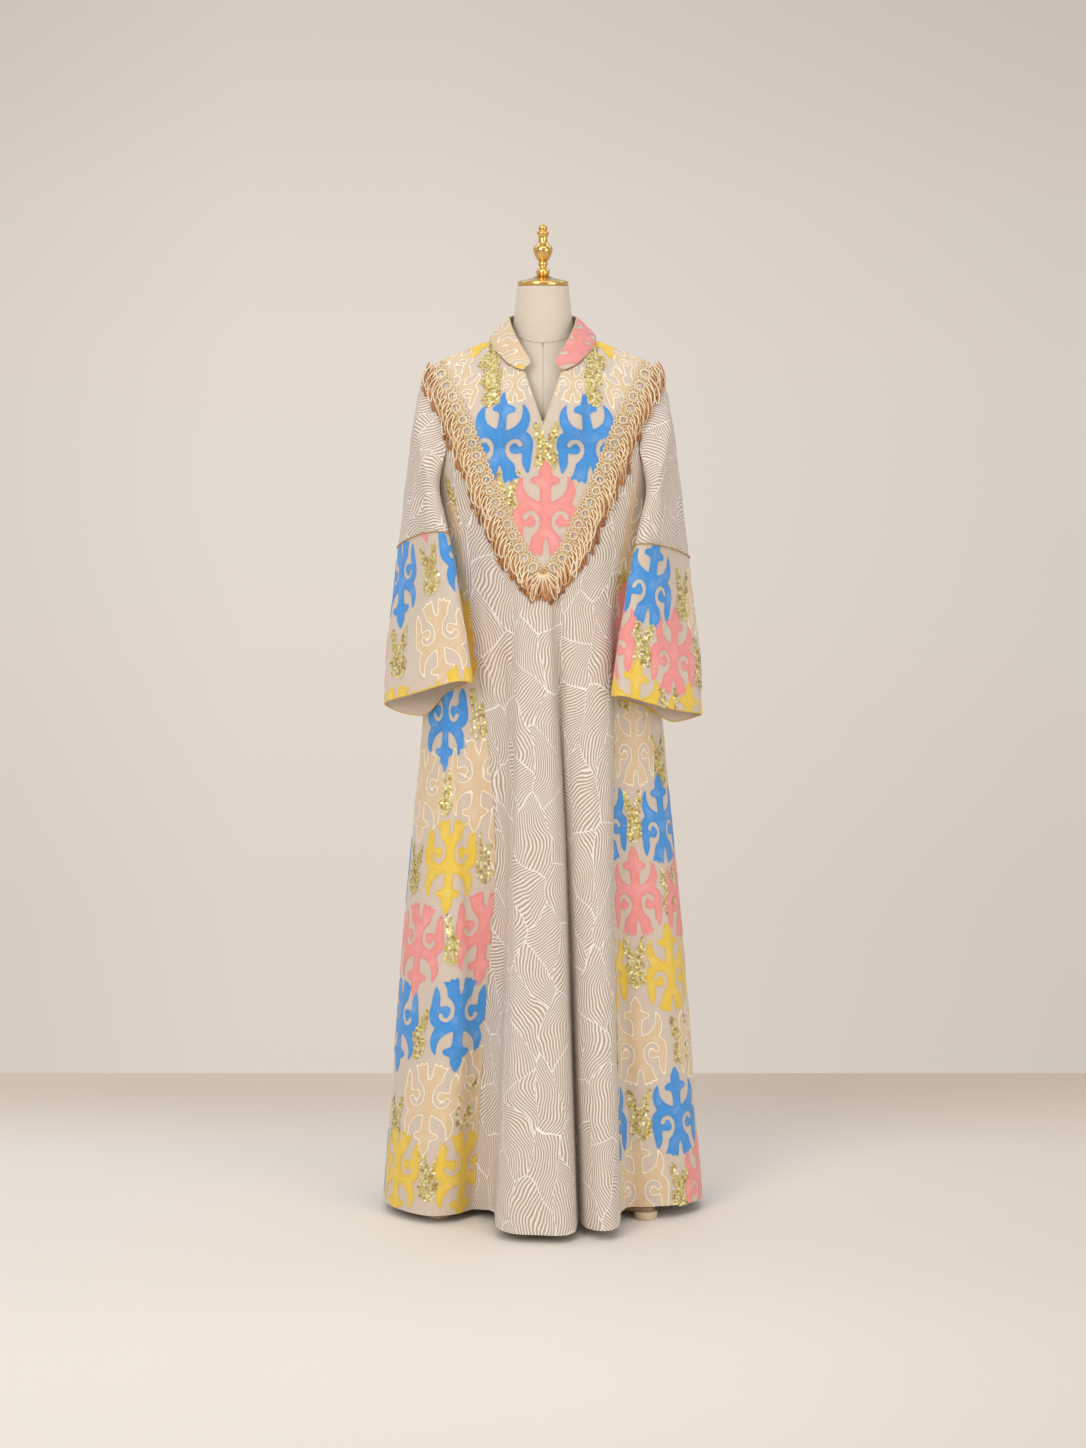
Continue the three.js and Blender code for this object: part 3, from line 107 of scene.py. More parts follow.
LEFT_SIDE_FOLDS = rows('side share shareTop out fade', [
    (-1, 0.475, 0.9, -12, 1.1),  # front hollow
    (-1, 0.545, 0.93, 24, 1.15),  # lobe inner
    (-1, 0.665, 0.95, 45, 1.15),  # lobe crest
    (-1, 0.835, 0.975, 36, 1.2),  # lobe outer
    (-1, 0.95, 0.994, 16, 1.2),  # front edge
    (1, 1, 1, 0, 1),  # side
    (1, 0.94, 0.985, 6, 1.2),  # back edge
    (1, 0.78, 0.93, 40, 1),  # back fold
    (1, 0.65, 0.86, 2, 1.2),  # back hollow
])
BACK_FOLDS = rows('xHem xTop out fade', [
    (159.5, 149.5, -14, 1.1),  # right seam
    (129.5, 122, 40, 1),  # right rise
    (93, 90.5, 78, 0.9),  # right tube
    (50.5, 51, 26, 1.2),  # right valley
    (28.5, 27.5, 66, 1),  # middle rise
    (-4, 0, 84, 0.9),  # middle tube
    (-32.5, -27.5, 62, 1),  # middle fall
    (-52.5, -51, 30, 1.2),  # left valley
    (-89, -90.5, 74, 0.9),  # left tube
    (-127.5, -122, 36, 1),  # left fall
    (-155.5, -149.5, -12, 1.1),  # left seam
])
HEM = rows('turn z', [
    (-180, 20),
    (-90, 16),
    (-58, 14),
    (-35, 20),
    (-8, 14),
    (12, 14),
    (24, 17),
    (38, 23),
    (60, 23),
    (90, 18),
    (180, 20),
])
FRONT_TOP = rows('share x y z', [
    (0, 0, -90, 1419),
    (0.14, 33.5, -86, 1425),
    (0.24, 51, -73, 1432),
    (0.33, 68.5, -51, 1447),
    (0.42, 87.5, 1, 1475),
    (0.58, 117, 1, 1464),
    (0.78, 157, 1, 1449),
    (0.92, 183.5, 1, 1435),
    (1, 193.5, 1, 1426),
])
BACK_TOP = rows('share x y z', [
    (0, 0, 66, 1493),
    (0.16, 35.5, 60, 1491),
    (0.3, 65, 41, 1485),
    (0.42, 87.5, 1, 1475),
    (0.58, 117, 1, 1464),
    (0.78, 157, 1, 1449),
    (0.92, 183.5, 1, 1435),
    (1, 193.5, 1, 1426),
])
ARMHOLE = rows('rise frontX frontY backX backY z', [
    (0, 157.5, -81, 149.5, 79, 1300),
    (0.3, 160.5, -77, 153.5, 74, 1338),
    (0.55, 167, -64, 163.5, 60, 1371),
    (0.8, 180, -38, 179, 34, 1404),
    (1, 193.5, 1, 193.5, 1, 1426),
])
YOKE_V = rows('z inner seam outer fringe', [
    (1480, 190, 199, 212, 245),
    (1426, 160, 170, 184, 212),
    (1377, 134, 144, 158, 190),
    (1330, 113, 123, 137, 170),
    (1280, 94, 104, 118, 154),
    (1235, 76, 86, 100, 131),
    (1190, 54, 64, 78, 105),
    (1150, 36, 46, 61, 86),
    (1126, 22, 33, 49, 71),
    (1106, 3, 17, 36, 60),
    (1090, -10, 5, 26, 50),
    (1074, -24, -10, 12, 38),
    (1060, -38, -24, -4, 24),
    (1044, -54, -40, -22, 2),
])
SLEEVE = rows('z cx cy wide thick turn', [
    (1437, 192.5, -2, 78.5, 12, 88),
    (1379, 196.5, -4, 80.5, 14, 87),
    (1300, 201, -9, 82.5, 18, 83),
    (1222, 200.5, -27, 84, 21, 74),
    (1156, 197.5, -46, 85, 24, 65),
    (1102, 195, -58, 85, 26, 58),
    (1038, 193, -71, 86, 28, 51),
    (975, 191.5, -80, 87.5, 30, 43),
    (894, 188.5, -92, 88.5, 34, 36),
    (834, 187, -98, 89.5, 36, 33),
])
COLLAR = rows('share baseX baseY baseZ topX topY topZ', [
    (0, 32.5, -89, 1427, 23.5, -80, 1436),
    (0.03, 36.5, -87, 1428, 21.5, -77, 1441),
    (0.1, 51, -76, 1434, 31.5, -70, 1459),
    (0.22, 68.5, -53, 1449, 46, -54, 1485),
    (0.34, 83.5, -22, 1468, 54, -29, 1504),
    (0.44, 87.5, 3, 1478, 56, -4, 1513.5),
    (0.6, 80.5, 30, 1487, 52, 25, 1515.5),
    (0.78, 55, 54, 1493, 37.5, 47, 1520),
    (1, 0, 68, 1497, 0, 60, 1524),
])
FORM = rows('z halfWidth front back cy', [
    (800, 128, 70, 84, 4),
    (806, 138, 78, 92, 4),
    (880, 148, 84, 98, 4),
    (960, 140, 84, 92, 2),
    (1060, 118, 82, 78, 0),
    (1130, 122, 90, 78, 0),
    (1210, 140, 100, 84, 0),
    (1290, 148, 102, 88, 0),
    (1350, 152, 99, 84, 0),
    (1398, 147, 86, 68, 4),
    (1418, 135, 76, 58, 4),
    (1436, 112, 64, 52, 4),
    (1452, 84, 55, 48, 4),
    (1468, 63, 50, 46, 3),
    (1492, 52, 47, 46, 1),
    (1518, 48, 45, 45, 0),
    (1546, 45, 43, 43, 0),
    (1566, 43, 42, 42, 0),
])
FINIAL = rows('z r', [
    (1581.4, 15),
    (1583.4, 9),
    (1584.6, 10.4),
    (1587.5, 11.4),
    (1591.3, 11.2),
    (1594.6, 9),
    (1596.6, 6.6),
    (1599.9, 6.6),
    (1600.9, 8.2),
    (1603.8, 8.4),
    (1605.7, 7.2),
    (1610.5, 10.6),
    (1615.3, 13),
    (1621, 15.4),
    (1626.3, 16.2),
    (1630.6, 14.8),
    (1635.4, 10),
    (1639.2, 7.8),
    (1646.9, 7.6),
    (1650.7, 9.4),
    (1653.6, 10.4),
    (1656, 9.2),
    (1657.9, 6.6),
    (1660.3, 7.6),
    (1663.2, 7.8),
    (1666.1, 5.6),
])
CHEST_BULGE = {'middle': 10.0, 'shoulder': 44.0, 'back': 30.0}
SLIT = {'topZ': 1432.0, 'topHalf': 31.0, 'foot': 1338.0}
LEFT_SLEEVE = {'side': -1.0, 'seamMiddle': 1144.0, 'seamInner': 19.0, 'seamFront': 6.0, 'seamEdges': 0.0, 'hemMiddle': 885.0, 'hemInner': 25.0, 'hemFront': 20.0, 'hemEdges': 7.0, 'hemLift': 34.0, 'liftFrom': 242.0}
RIGHT_SLEEVE = {'side': 1.0, 'seamMiddle': 1127.0, 'seamInner': 17.0, 'seamFront': 4.0, 'seamEdges': 0.0, 'hemMiddle': 866.0, 'hemInner': 21.5, 'hemFront': 13.5, 'hemEdges': 7.0, 'hemLift': 25.0, 'liftFrom': 228.0}
CAP = {'z0': 1566.3, 'z1': 1574.0, 'radius': 42.3, 'dome': 1581.0}
POLE = {'radius': 15.0, 'z0': 46.3, 'z1': 799.7, 'sides': 20.0}
HUB = {'radius': 42.0, 'z0': 16.0, 'z1': 46.0}
FRONT_LEVELS = [('xHem', 16), ('xLow', 319), ('xMid', 633), ('xHigh', 1024), ('xTop', 1300)]
# ---- surface functions (numpy), same as in part.mjs
import math
import numpy as np

def col(rows, key, name, at):
    xs = [r[key] for r in rows]; ys = [r[name] for r in rows]
    return hermite(xs, ys, at)

def hermite(xs, ys, at):
    xs = np.asarray(xs, float); ys = np.asarray(ys, float)
    at = np.asarray(at, float)
    if xs[0] > xs[-1]:
        xs = xs[::-1]; ys = ys[::-1]
    s = np.diff(ys) / np.diff(xs)
    m = np.empty_like(ys)
    m[0] = s[0]; m[-1] = s[-1]
    a, b = s[:-1], s[1:]
    with np.errstate(divide='ignore', invalid='ignore'):
        mid = np.where(a * b <= 0, 0.0, 2 * a * b / np.where(a + b == 0, 1, a + b))
    m[1:-1] = mid
    x = np.clip(at, xs[0], xs[-1])
    i = np.clip(np.searchsorted(xs, x, side='right') - 1, 0, len(xs) - 2)
    h = xs[i + 1] - xs[i]
    q = (x - xs[i]) / h
    q2 = q * q; q3 = q2 * q
    return ((2 * q3 - 3 * q2 + 1) * ys[i] + (q3 - 2 * q2 + q) * h * m[i]
            + (-2 * q3 + 3 * q2) * ys[i + 1] + (q3 - q2) * h * m[i + 1])

def lerp(a, b, q): return a + (b - a) * q
def clamp01(q): return np.clip(q, 0.0, 1.0)
def smooth(q):
    c = clamp01(q); return c * c * (3 - 2 * c)

def spline_points(p0, p1, p2, p3, q, first=False, last=False):
    def knot(a, b): return np.maximum(1e-3, np.sqrt(np.hypot(a[..., 0] - b[..., 0], a[..., 1] - b[..., 1])))
    d0 = knot(p0, p1)[..., None]; d1 = knot(p1, p2)[..., None]; d2 = knot(p2, p3)[..., None]
    t1 = (p1 - p0) / d0 - (p2 - p0) / (d0 + d1) + (p2 - p1) / d1
    t2 = (p2 - p1) / d1 - (p3 - p1) / (d1 + d2) + (p3 - p2) / d2
    if first: t1 = (p2 - p1) / d1
    if last: t2 = (p2 - p1) / d1
    t1 = t1 * d1; t2 = t2 * d1
    q = np.asarray(q)[..., None]
    return ((2 * q ** 3 - 3 * q ** 2 + 1) * p1 + (q ** 3 - 2 * q ** 2 + q) * t1
            + (-2 * q ** 3 + 3 * q ** 2) * p2 + (q ** 3 - q ** 2) * t2)

def ring_depth(x, z, side):
    a = col(BODY, 'z', 'halfWidth', z); n = col(BODY, 'z', 'boxy', z)
    b = col(BODY, 'z', 'front' if side < 0 else 'back', z)
    return side * b * (1 - np.minimum(1, np.abs(x) / a) ** n) ** (1 / n)

def fold_share(z, fade): return clamp01((FOLD_START_Z - z) / (FOLD_START_Z - 16)) ** fade

def front_station(row, z):
    x = hermite([at for _, at in FRONT_LEVELS], [row[n] for n, _ in FRONT_LEVELS], z)
    return np.stack([x, ring_depth(x, z, -1) - row['out'] * fold_share(z, row['fade'])], -1)

def back_station(row, z):
    x = lerp(row['xHem'], row['xTop'], smooth((z - 16) / (CHEST_Z - 16)))
    return np.stack([x, ring_depth(x, z, 1) + row['out'] * fold_share(z, row['fade'])], -1)

def side_station(row, z, sign):
    a = col(BODY, 'z', 'halfWidth', z)
    share = lerp(row['share'], row['shareTop'], smooth((z - 300) / (CHEST_Z - 300)))
    x = sign * a * share
    y = ring_depth(x, z, row['side'])
    ang = np.arctan2(y / col(BODY, 'z', 'front' if row['side'] < 0 else 'back', z), x / a)
    out = row['out'] * fold_share(z, row['fade'])
    return np.stack([x + 0.25 * out * np.cos(ang) * np.where(np.abs(share) > 0.99, 0, 1), y + out * np.sin(ang)], -1)

def station_fns(panel):
    F = [lambda z, r=r: front_station(r, z) for r in FRONT_FOLDS]
    R = [lambda z, r=r: side_station(r, z, 1) for r in RIGHT_SIDE_FOLDS]
    B = [lambda z, r=r: back_station(r, z) for r in BACK_FOLDS]
    L = [lambda z, r=r: side_station(r, z, -1) for r in LEFT_SIDE_FOLDS][::-1]
    if panel == 'front': return [L[-1]] + F + [R[0]], len(F) - 1
    if panel == 'right': return [F[-2], F[-1]] + R + [B[0], B[1]], len(R) + 1
    if panel == 'back': return [R[-1]] + B + [L[0]], len(B) - 1
    return [B[-2], B[-1]] + L + [F[0], F[1]], len(L) + 1

def panel_xy(panel, span, q, z):
    """Plan points of a panel at span index (array), share q of the span and height z."""
    fns, n = station_fns(panel)
    span = np.asarray(span); q = np.asarray(q, float); z = np.asarray(z, float)
    out = np.zeros(z.shape + (2,))
    for i in range(n):
        m = span == i
        if not m.any(): continue
        zz = z[m]
        k = 1 + i
        a = fns[max(0, k - 1)](zz); b = fns[k](zz); c = fns[min(len(fns) - 1, k + 1)](zz); d = fns[min(len(fns) - 1, k + 2)](zz)
        out[m] = spline_points(a, b, c, d, q[m])
    return out

def hem_at(x, y):
    return col(HEM, 'turn', 'z', np.degrees(np.arctan2(x, -y)))

def armhole_point(depth, q):
    return np.stack([col(ARMHOLE, 'rise', depth + 'X', q), col(ARMHOLE, 'rise', depth + 'Y', q), col(ARMHOLE, 'rise', 'z', q)], -1)

def upper_points(base, top, side, v):
    """base (C,3) row at CHEST_Z; v (R,) shares up; returns (R,C,3) and s (C,)"""
    d = np.linalg.norm(np.diff(base, axis=0), axis=1)
    length = np.concatenate([[0], np.cumsum(d)])
    x = base[:, 0]
    order = np.argsort(x)
    middle = np.interp(0.0, x[order], length[order])
    total = length[-1]
    s = np.where(length < middle, (length - middle) / middle, (length - middle) / (total - middle))
    if side > 0: s = -s
    share = np.abs(s); sign = np.where(s < 0, -1.0, 1.0)
    t = np.stack([sign * col(top, 'share', 'x', share), col(top, 'share', 'y', share), col(top, 'share', 'z', share)], -1)
    depth = 'front' if side < 0 else 'back'
    a0 = armhole_point(depth, 0.0); a1 = armhole_point(depth, 1.0); a = armhole_point(depth, v)
    near = share ** 3.2
    v_ = np.asarray(v)[:, None]
    dev = a - (a0 + (a1 - a0) * v_)
    if side < 0: full = lerp(CHEST_BULGE['middle'], CHEST_BULGE['shoulder'], smooth(share / 0.42)) * (1 - near)
    else: full = CHEST_BULGE['back'] * smooth(0.35 + share / 0.5) * (1 - near)
    X = lerp(base[:, 0], t[:, 0], v_) + sign * dev[:, 0:1] * near
    Y = lerp(base[:, 1], t[:, 1], v_) + dev[:, 1:2] * near + side * full * np.sin(np.pi * v_ ** 0.9)
    Z = lerp(base[:, 2], t[:, 2], v_) + dev[:, 2:3] * near
    return np.stack([X, Y, Z], -1), s

# ---------------------------------------------------------------- sleeves and the body's outline
STEPS = {
    'front': [1, 1, 1, 1, 1, 2, 1, 1, 1, 1, 1, 1, 1, 1, 1, 1, 1],
    'right': [1, 1, 2, 1, 1, 1, 2, 1, 1],
    'back': [1, 2, 2, 1, 1, 1, 1, 2, 2, 1],
    'left': [1, 1, 2, 1, 1, 1, 2, 2, 1, 1],
}


def outline_table(z_low, z_high):
    """Plan outline of the body at every whole millimetre: (levels, points, 2), counter-clockwise."""
    zs = np.arange(z_low, z_high + 1, dtype=float)
    parts = []
    for panel in ('front', 'right', 'back', 'left'):
        span, q = [], []
        for i, n in enumerate(STEPS[panel]):
            for j in range(2 * n):
                span.append(i)
                q.append(j / (2 * n))
        span = np.array(span)
        q = np.array(q)
        zz = np.repeat(zs[:, None], len(span), 1)
        parts.append(panel_xy(panel, np.repeat(span[None], len(zs), 0), np.repeat(q[None], len(zs), 0), zz))
    return np.concatenate(parts, 1)


OUT_LOW, OUT_HIGH = 820, CHEST_Z
OUTLINES = outline_table(OUT_LOW, OUT_HIGH)


def push_clear(p, gap):
    """Move plan points out of the body's outline at their own height. p (N, 3), gap (N,)."""
    level = np.clip(np.round(p[:, 2]).astype(int), OUT_LOW, OUT_HIGH) - OUT_LOW
    line = OUTLINES[level]                       # (N, K, 2)
    nxt = np.roll(line, -1, axis=1)
    d = nxt - line
    x = p[:, None, 0]
    y = p[:, None, 1]
    q = ((x - line[..., 0]) * d[..., 0] + (y - line[..., 1]) * d[..., 1]) / np.maximum((d ** 2).sum(-1), 1e-9)
    q = np.clip(q, 0, 1)
    px = line[..., 0] + d[..., 0] * q
    py = line[..., 1] + d[..., 1] * q
    dist = np.hypot(x - px, y - py)
    k = dist.argmin(1)
    r = np.arange(len(p))
    best = dist[r, k]
    straddle = (line[..., 1] > y) != (nxt[..., 1] > y)
    with np.errstate(divide='ignore', invalid='ignore'):
        cut = d[..., 0] * (y - line[..., 1]) / np.where(d[..., 1] == 0, 1, d[..., 1]) + line[..., 0]
    inside = ((straddle & (x < cut)).sum(1) % 2) == 1
    signed = np.where(inside, -best, best)
    dd = d[r, k]
    length = np.maximum(np.hypot(dd[:, 0], dd[:, 1]), 1e-9)
    nx = dd[:, 1] / length
    ny = -dd[:, 0] / length
    out = p.copy()
    move = signed < gap
    out[move, 0] = (px[r, k] + nx * gap)[move]
    out[move, 1] = (py[r, k] + ny * gap)[move]
    return out


def sleeve_point(side, phi, z):
    g = {n: hermite([r['z'] for r in SLEEVE], [r[n] for r in SLEEVE], z) for n in ('cx', 'cy', 'wide', 'thick', 'turn')}
    a = np.radians(g['turn'])
    c = np.cos(phi)
    s = np.sign(np.sin(phi)) * np.abs(np.sin(phi)) ** (2 / 2.4)
    u = g['wide'] * c
    v = g['thick'] * s
    x = -g['cx'] + u * np.cos(a) - v * np.sin(a)
    y = g['cy'] - u * np.sin(a) - v * np.cos(a)
    return (x if side < 0 else -x), y


def sleeve_cut(spec, which, phi):
    cut = (spec[which + 'Middle'] + spec[which + 'Inner'] * np.cos(phi) + spec[which + 'Front'] * np.sin(phi)
           + spec[which + 'Edges'] * np.cos(2 * phi))
    if which == 'hem':                     # next to the body the back of the hem is drawn up
        turn = np.degrees(phi) % 360
        cut = cut + spec['hemLift'] * np.maximum(0, -np.sin(phi)) * smooth((turn - spec['liftFrom']) / 40)
    return cut


def side_top_row(panel):
    """The upper edge of a side panel, at the same places as the packed solid's."""
    steps = STEPS[panel]
    span, q = [], []
    for i, n in enumerate(steps):
        for j in range(n + (1 if i == len(steps) - 1 else 0)):
            span.append(i)
            q.append(j / n)
    span = np.array(span)
    q = np.array(q)
    across = np.arange(len(span)) / (len(span) - 1)
    z = UNDERARM_Z + (CHEST_Z - 0.5 - UNDERARM_Z) * np.abs(2 * across - 1) ** 1.7
    xy = panel_xy(panel, span, q, z)
    return np.column_stack([xy, z])


def armhole_loop(side, phi):
    top = side_top_row('right' if side > 0 else 'left')
    up = [0, 0.15, 0.3, 0.45, 0.6, 0.75, 0.88]
    line = [armhole_point('front', q) for q in up] + [armhole_point('front', 1.0)] + [armhole_point('back', q) for q in up[::-1]]
    line = [np.array([side * p[0], p[1], p[2]], float) for p in line]
    under = top[::-1] if side > 0 else top
    line = np.array(line + [np.array(p) for p in under[1:-1]])
    n = len(line)
    tip, back = len(up), 2 * len(up)
    turn = np.degrees(phi) % 360
    at = np.interp(turn, [0, 90, 180, 270, 360], [0, tip, back, back + (n - back) / 2, n])
    i = np.floor(at).astype(int) % n
    q = (at - np.floor(at))[:, None]
    return line[i] * (1 - q) + line[(i + 1) % n] * q


def sleeve_upper(spec, phi, shares):
    side = spec['side']
    loop = armhole_loop(side, phi)
    z_to = sleeve_cut(spec, 'seam', phi)
    outward = np.maximum(0, np.sin(phi))
    under = np.maximum(0, -np.sin(phi))
    rows = []
    for q in shares:
        z = lerp(loop[:, 2], z_to, q)
        x, y = sleeve_point(side, phi, z)
        k = smooth(q / lerp(0.5, 0.16, outward))
        off = 1.5 + 0.3 * smooth(q / 0.1)
        p = np.column_stack([lerp(loop[:, 0] + side * off, x, k), lerp(loop[:, 1], y, k), z])
        gap = lerp(0.6 + under * 0.6, CLEAR_OF_BODY, smooth(q / 0.2))
        moved = push_clear(p, gap)
        low = (z <= CHEST_Z - 4)
        p[low] = moved[low]
        rows.append(p)
    return np.array(rows)


def sleeve_cuff(spec, phi, shares):
    side = spec['side']
    rows = []
    for q in shares:
        z = lerp(sleeve_cut(spec, 'seam', phi), sleeve_cut(spec, 'hem', phi), q)
        x, y = sleeve_point(side, phi, z)
        rows.append(push_clear(np.column_stack([x, y, z]), np.full(len(phi), float(CLEAR_OF_BODY))))
    return np.array(rows)


def collar_grid(count, rows):
    """Collar's middle surface: rows from the base up, columns from the right front round to the left front."""
    s = np.linspace(0, 1, count)
    shares = np.concatenate([s, s[::-1][1:]])
    sign = np.concatenate([np.ones(count), -np.ones(count - 1)])
    g = {n: hermite([r['share'] for r in COLLAR], [r[n] for r in COLLAR], shares)
         for n in ('baseX', 'baseY', 'baseZ', 'topX', 'topY', 'topZ')}
    out = []
    for q in rows:
        lean = q ** 1.25
        out.append(np.column_stack([sign * lerp(g['baseX'], g['topX'], lean), lerp(g['baseY'], g['topY'], lean),
                                    lerp(g['baseZ'] + 0.6, g['topZ'], q)]))
    return np.array(out)

# ---------------------------------------------------------------- cloth surfaces
class Surface:
    """A grid of points in mm, rows going up and columns counter-clockwise round the body."""

    def __init__(self, p, closed=False, middle=None, ends=None, v_ref=None):
        self.p = p
        self.closed = closed
        r, c, _ = p.shape
        if closed:
            du = np.roll(p, -1, 1) - np.roll(p, 1, 1)
        else:
            du = np.gradient(p, axis=1)
            if ends is not None:
                du[:, 0] = ends[0] * np.linalg.norm(du[:, 0], axis=-1)[:, None]
                du[:, -1] = ends[1] * np.linalg.norm(du[:, -1], axis=-1)[:, None]
        dv = np.gradient(p, axis=0)
        n = np.cross(du, dv)
        self.n = n / np.maximum(np.linalg.norm(n, axis=-1), 1e-9)[..., None]
        step = np.linalg.norm(np.diff(p, axis=1), axis=-1)
        u = np.concatenate([np.zeros((r, 1)), np.cumsum(step, 1)], 1)
        if middle is None:
            middle = c // 2
        self.u = u - u[:, middle:middle + 1]
        rise = np.linalg.norm(np.diff(p, axis=0), axis=-1)
        v = np.concatenate([np.zeros((1, c)), np.cumsum(rise, 0)], 0)
        if v_ref is None:
            v_ref = (0, p[0, :, 2])
        self.v = v - v[v_ref[0]][None] + v_ref[1]

    def raised(self, height):
        """The same cloth with its creases: height (rows, columns) in mm along the normals."""
        q = self.p + self.n * height[..., None]
        s = Surface.__new__(Surface)
        s.__dict__.update(self.__dict__)
        s.p = q
        r, c, _ = q.shape
        du = (np.roll(q, -1, 1) - np.roll(q, 1, 1)) if self.closed else np.gradient(q, axis=1)
        n = np.cross(du, np.gradient(q, axis=0))
        n = n / np.maximum(np.linalg.norm(n, axis=-1), 1e-9)[..., None]
        if not self.closed:
            n[:, 0], n[:, -1] = self.n[:, 0], self.n[:, -1]
        s.n = n
        return s

    def finer(self, k, rows=None):
        """The same surface with k times as many columns, and rows times (or k times) as many rows."""
        def steps(n, f):
            t = np.linspace(0, n - 1, int(round((n - 1) * f)) + 1)
            i = np.minimum(t.astype(int), n - 2)
            return i, t - i

        def up(a, closing=None):
            a = np.asarray(a)
            flat = a.ndim == 2
            if flat:
                a = a[..., None]
            if self.closed:
                a = np.concatenate([a, a[:, :1] if closing is None else closing[..., None]], 1)
            i, f = steps(a.shape[0], rows or k)
            f = f[:, None, None]
            a = a[i] * (1 - f) + a[i + 1] * f
            i, f = steps(a.shape[1], k)
            f = f[None, :, None]
            a = a[:, i] * (1 - f) + a[:, i + 1] * f
            return a[..., 0] if flat else a
        s = Surface.__new__(Surface)
        s.closed = False
        s.p, s.n = up(self.p), up(self.n)
        last = None
        if self.closed:
            last = self.u[:, -1:] + np.linalg.norm(self.p[:, 0] - self.p[:, -1], axis=-1)[:, None]
        s.u, s.v = up(self.u, last), up(self.v)
        return s

    def mesh(self):
        """Flat arrays: points, normals, (u, v), quads."""
        r, c, _ = self.p.shape
        idx = np.arange(r * c).reshape(r, c)
        if self.closed:
            nx = np.roll(idx, -1, 1)
            quads = np.stack([idx[:-1], nx[:-1], nx[1:], idx[1:]], -1).reshape(-1, 4)
        else:
            quads = np.stack([idx[:-1, :-1], idx[:-1, 1:], idx[1:, 1:], idx[1:, :-1]], -1).reshape(-1, 4)
        return self.p.reshape(-1, 3), self.n.reshape(-1, 3), np.stack([self.u, self.v], -1).reshape(-1, 2), quads


def panel_columns(panel, pitch):
    """Span number and share for each fine column, about 'pitch' apart at the hem."""
    fns, n = station_fns(panel)
    span, q = [], []
    for i in range(n):
        a = fns[1 + i](np.array([200.0]))[0]
        b = fns[2 + i](np.array([200.0]))[0]
        k = max(3, int(round(math.hypot(*(b - a)) * 1.15 / pitch)))
        for j in range(k + (1 if i == n - 1 else 0)):
            span.append(i)
            q.append(j / k)
    return np.array(span), np.array(q)


def panel_ends(panel, z):
    """Directions along the ring at a panel's two ends, shared with its neighbours."""
    fns, n = station_fns(panel)
    zero = np.zeros(len(z), int)
    a = panel_xy(panel, zero, np.full(len(z), 1e-3), z) - panel_xy(panel, zero, np.zeros(len(z)), z)
    last = zero + n - 1
    b = panel_xy(panel, last, np.ones(len(z)), z) - panel_xy(panel, last, np.full(len(z), 1 - 1e-3), z)
    out = []
    for d in (a, b):
        d = np.column_stack([d, np.zeros(len(z))])
        out.append(d / np.maximum(np.linalg.norm(d, axis=1), 1e-12)[:, None])
    return out


PITCH = 5.0


def body_surface(panel):
    span, q = panel_columns(panel, PITCH)
    n = len(span)
    base = panel_xy(panel, span, q, np.full(n, 16.0))
    hem = hem_at(base[:, 0], base[:, 1])
    if panel in ('front', 'back'):
        top_z = np.full(n, float(CHEST_Z))
    else:
        across = np.arange(n) / (n - 1)
        # the same scallop as the packed solid's, by distance along its own columns
        steps = STEPS[panel]
        total = sum(steps)
        starts = np.concatenate([[0], np.cumsum(steps)])
        across = (starts[span] + q * np.array(steps)[span]) / total
        top_z = UNDERARM_Z + (CHEST_Z - 0.5 - UNDERARM_Z) * np.abs(2 * across - 1) ** 1.7
    rows = int(round(1284 / PITCH))
    share = np.linspace(0, 1, rows + 1)
    z = hem[None] + (top_z - hem)[None] * share[:, None]
    xy = panel_xy(panel, np.repeat(span[None], rows + 1, 0), np.repeat(q[None], rows + 1, 0), z)
    p = np.concatenate([xy, z[..., None]], -1)
    e0 = panel_ends(panel, z[:, 0])[0]
    e1 = panel_ends(panel, z[:, -1])[1]
    middle = None
    if panel in ('front', 'back'):
        side = -1 if panel == 'front' else 1
        up_rows = int(round(150 / PITCH))
        v = np.linspace(0, 1, up_rows + 1)[1:]
        upper, _ = upper_points(p[-1], FRONT_TOP if side < 0 else BACK_TOP, side, v)
        p = np.concatenate([p, upper], 0)
        k = len(upper)
        e0 = np.concatenate([e0, np.repeat(e0[-1:], k, 0)])
        e1 = np.concatenate([e1, np.repeat(e1[-1:], k, 0)])
        middle = int(np.abs(p[rows, :, 0]).argmin())
    p[:, 0] += e0 * SEAM_GAP / 2
    p[:, -1] -= e1 * SEAM_GAP / 2
    return Surface(p, middle=middle, ends=(e0, e1), v_ref=(rows, p[rows, :, 2]))


def closed_surface(p, side, middle):
    """A tube whose rows run down in the functions: turned so rows go up, columns counter-clockwise."""
    p = p[::-1]
    if side < 0:
        p = np.concatenate([p[:, :1], p[:, 1:][:, ::-1]], 1)
        middle = (p.shape[1] - middle) % p.shape[1]
    back = (middle + p.shape[1] // 2) % p.shape[1]      # the columns start where the tube faces back
    p = np.roll(p, -back, 1)
    middle = p.shape[1] // 2
    return Surface(p, closed=True, middle=middle, v_ref=(0, np.full(p.shape[1], float(p[0, :, 2].mean()))))


SLEEVE_COLUMNS = 108


def sleeve_surfaces(spec):
    phi = np.arange(SLEEVE_COLUMNS) * 2 * np.pi / SLEEVE_COLUMNS
    shares = np.linspace(0, 1, 60) ** 1.25
    top = sleeve_upper(spec, phi, shares)
    cuff = sleeve_cuff(spec, phi, np.linspace(0, 1, 52))
    top[-1, :, 2] += SEAM_GAP / 2
    cuff[0, :, 2] -= SEAM_GAP / 2
    m = SLEEVE_COLUMNS // 4              # the middle of what faces front
    return closed_surface(top, spec['side'], m), closed_surface(cuff, spec['side'], m)


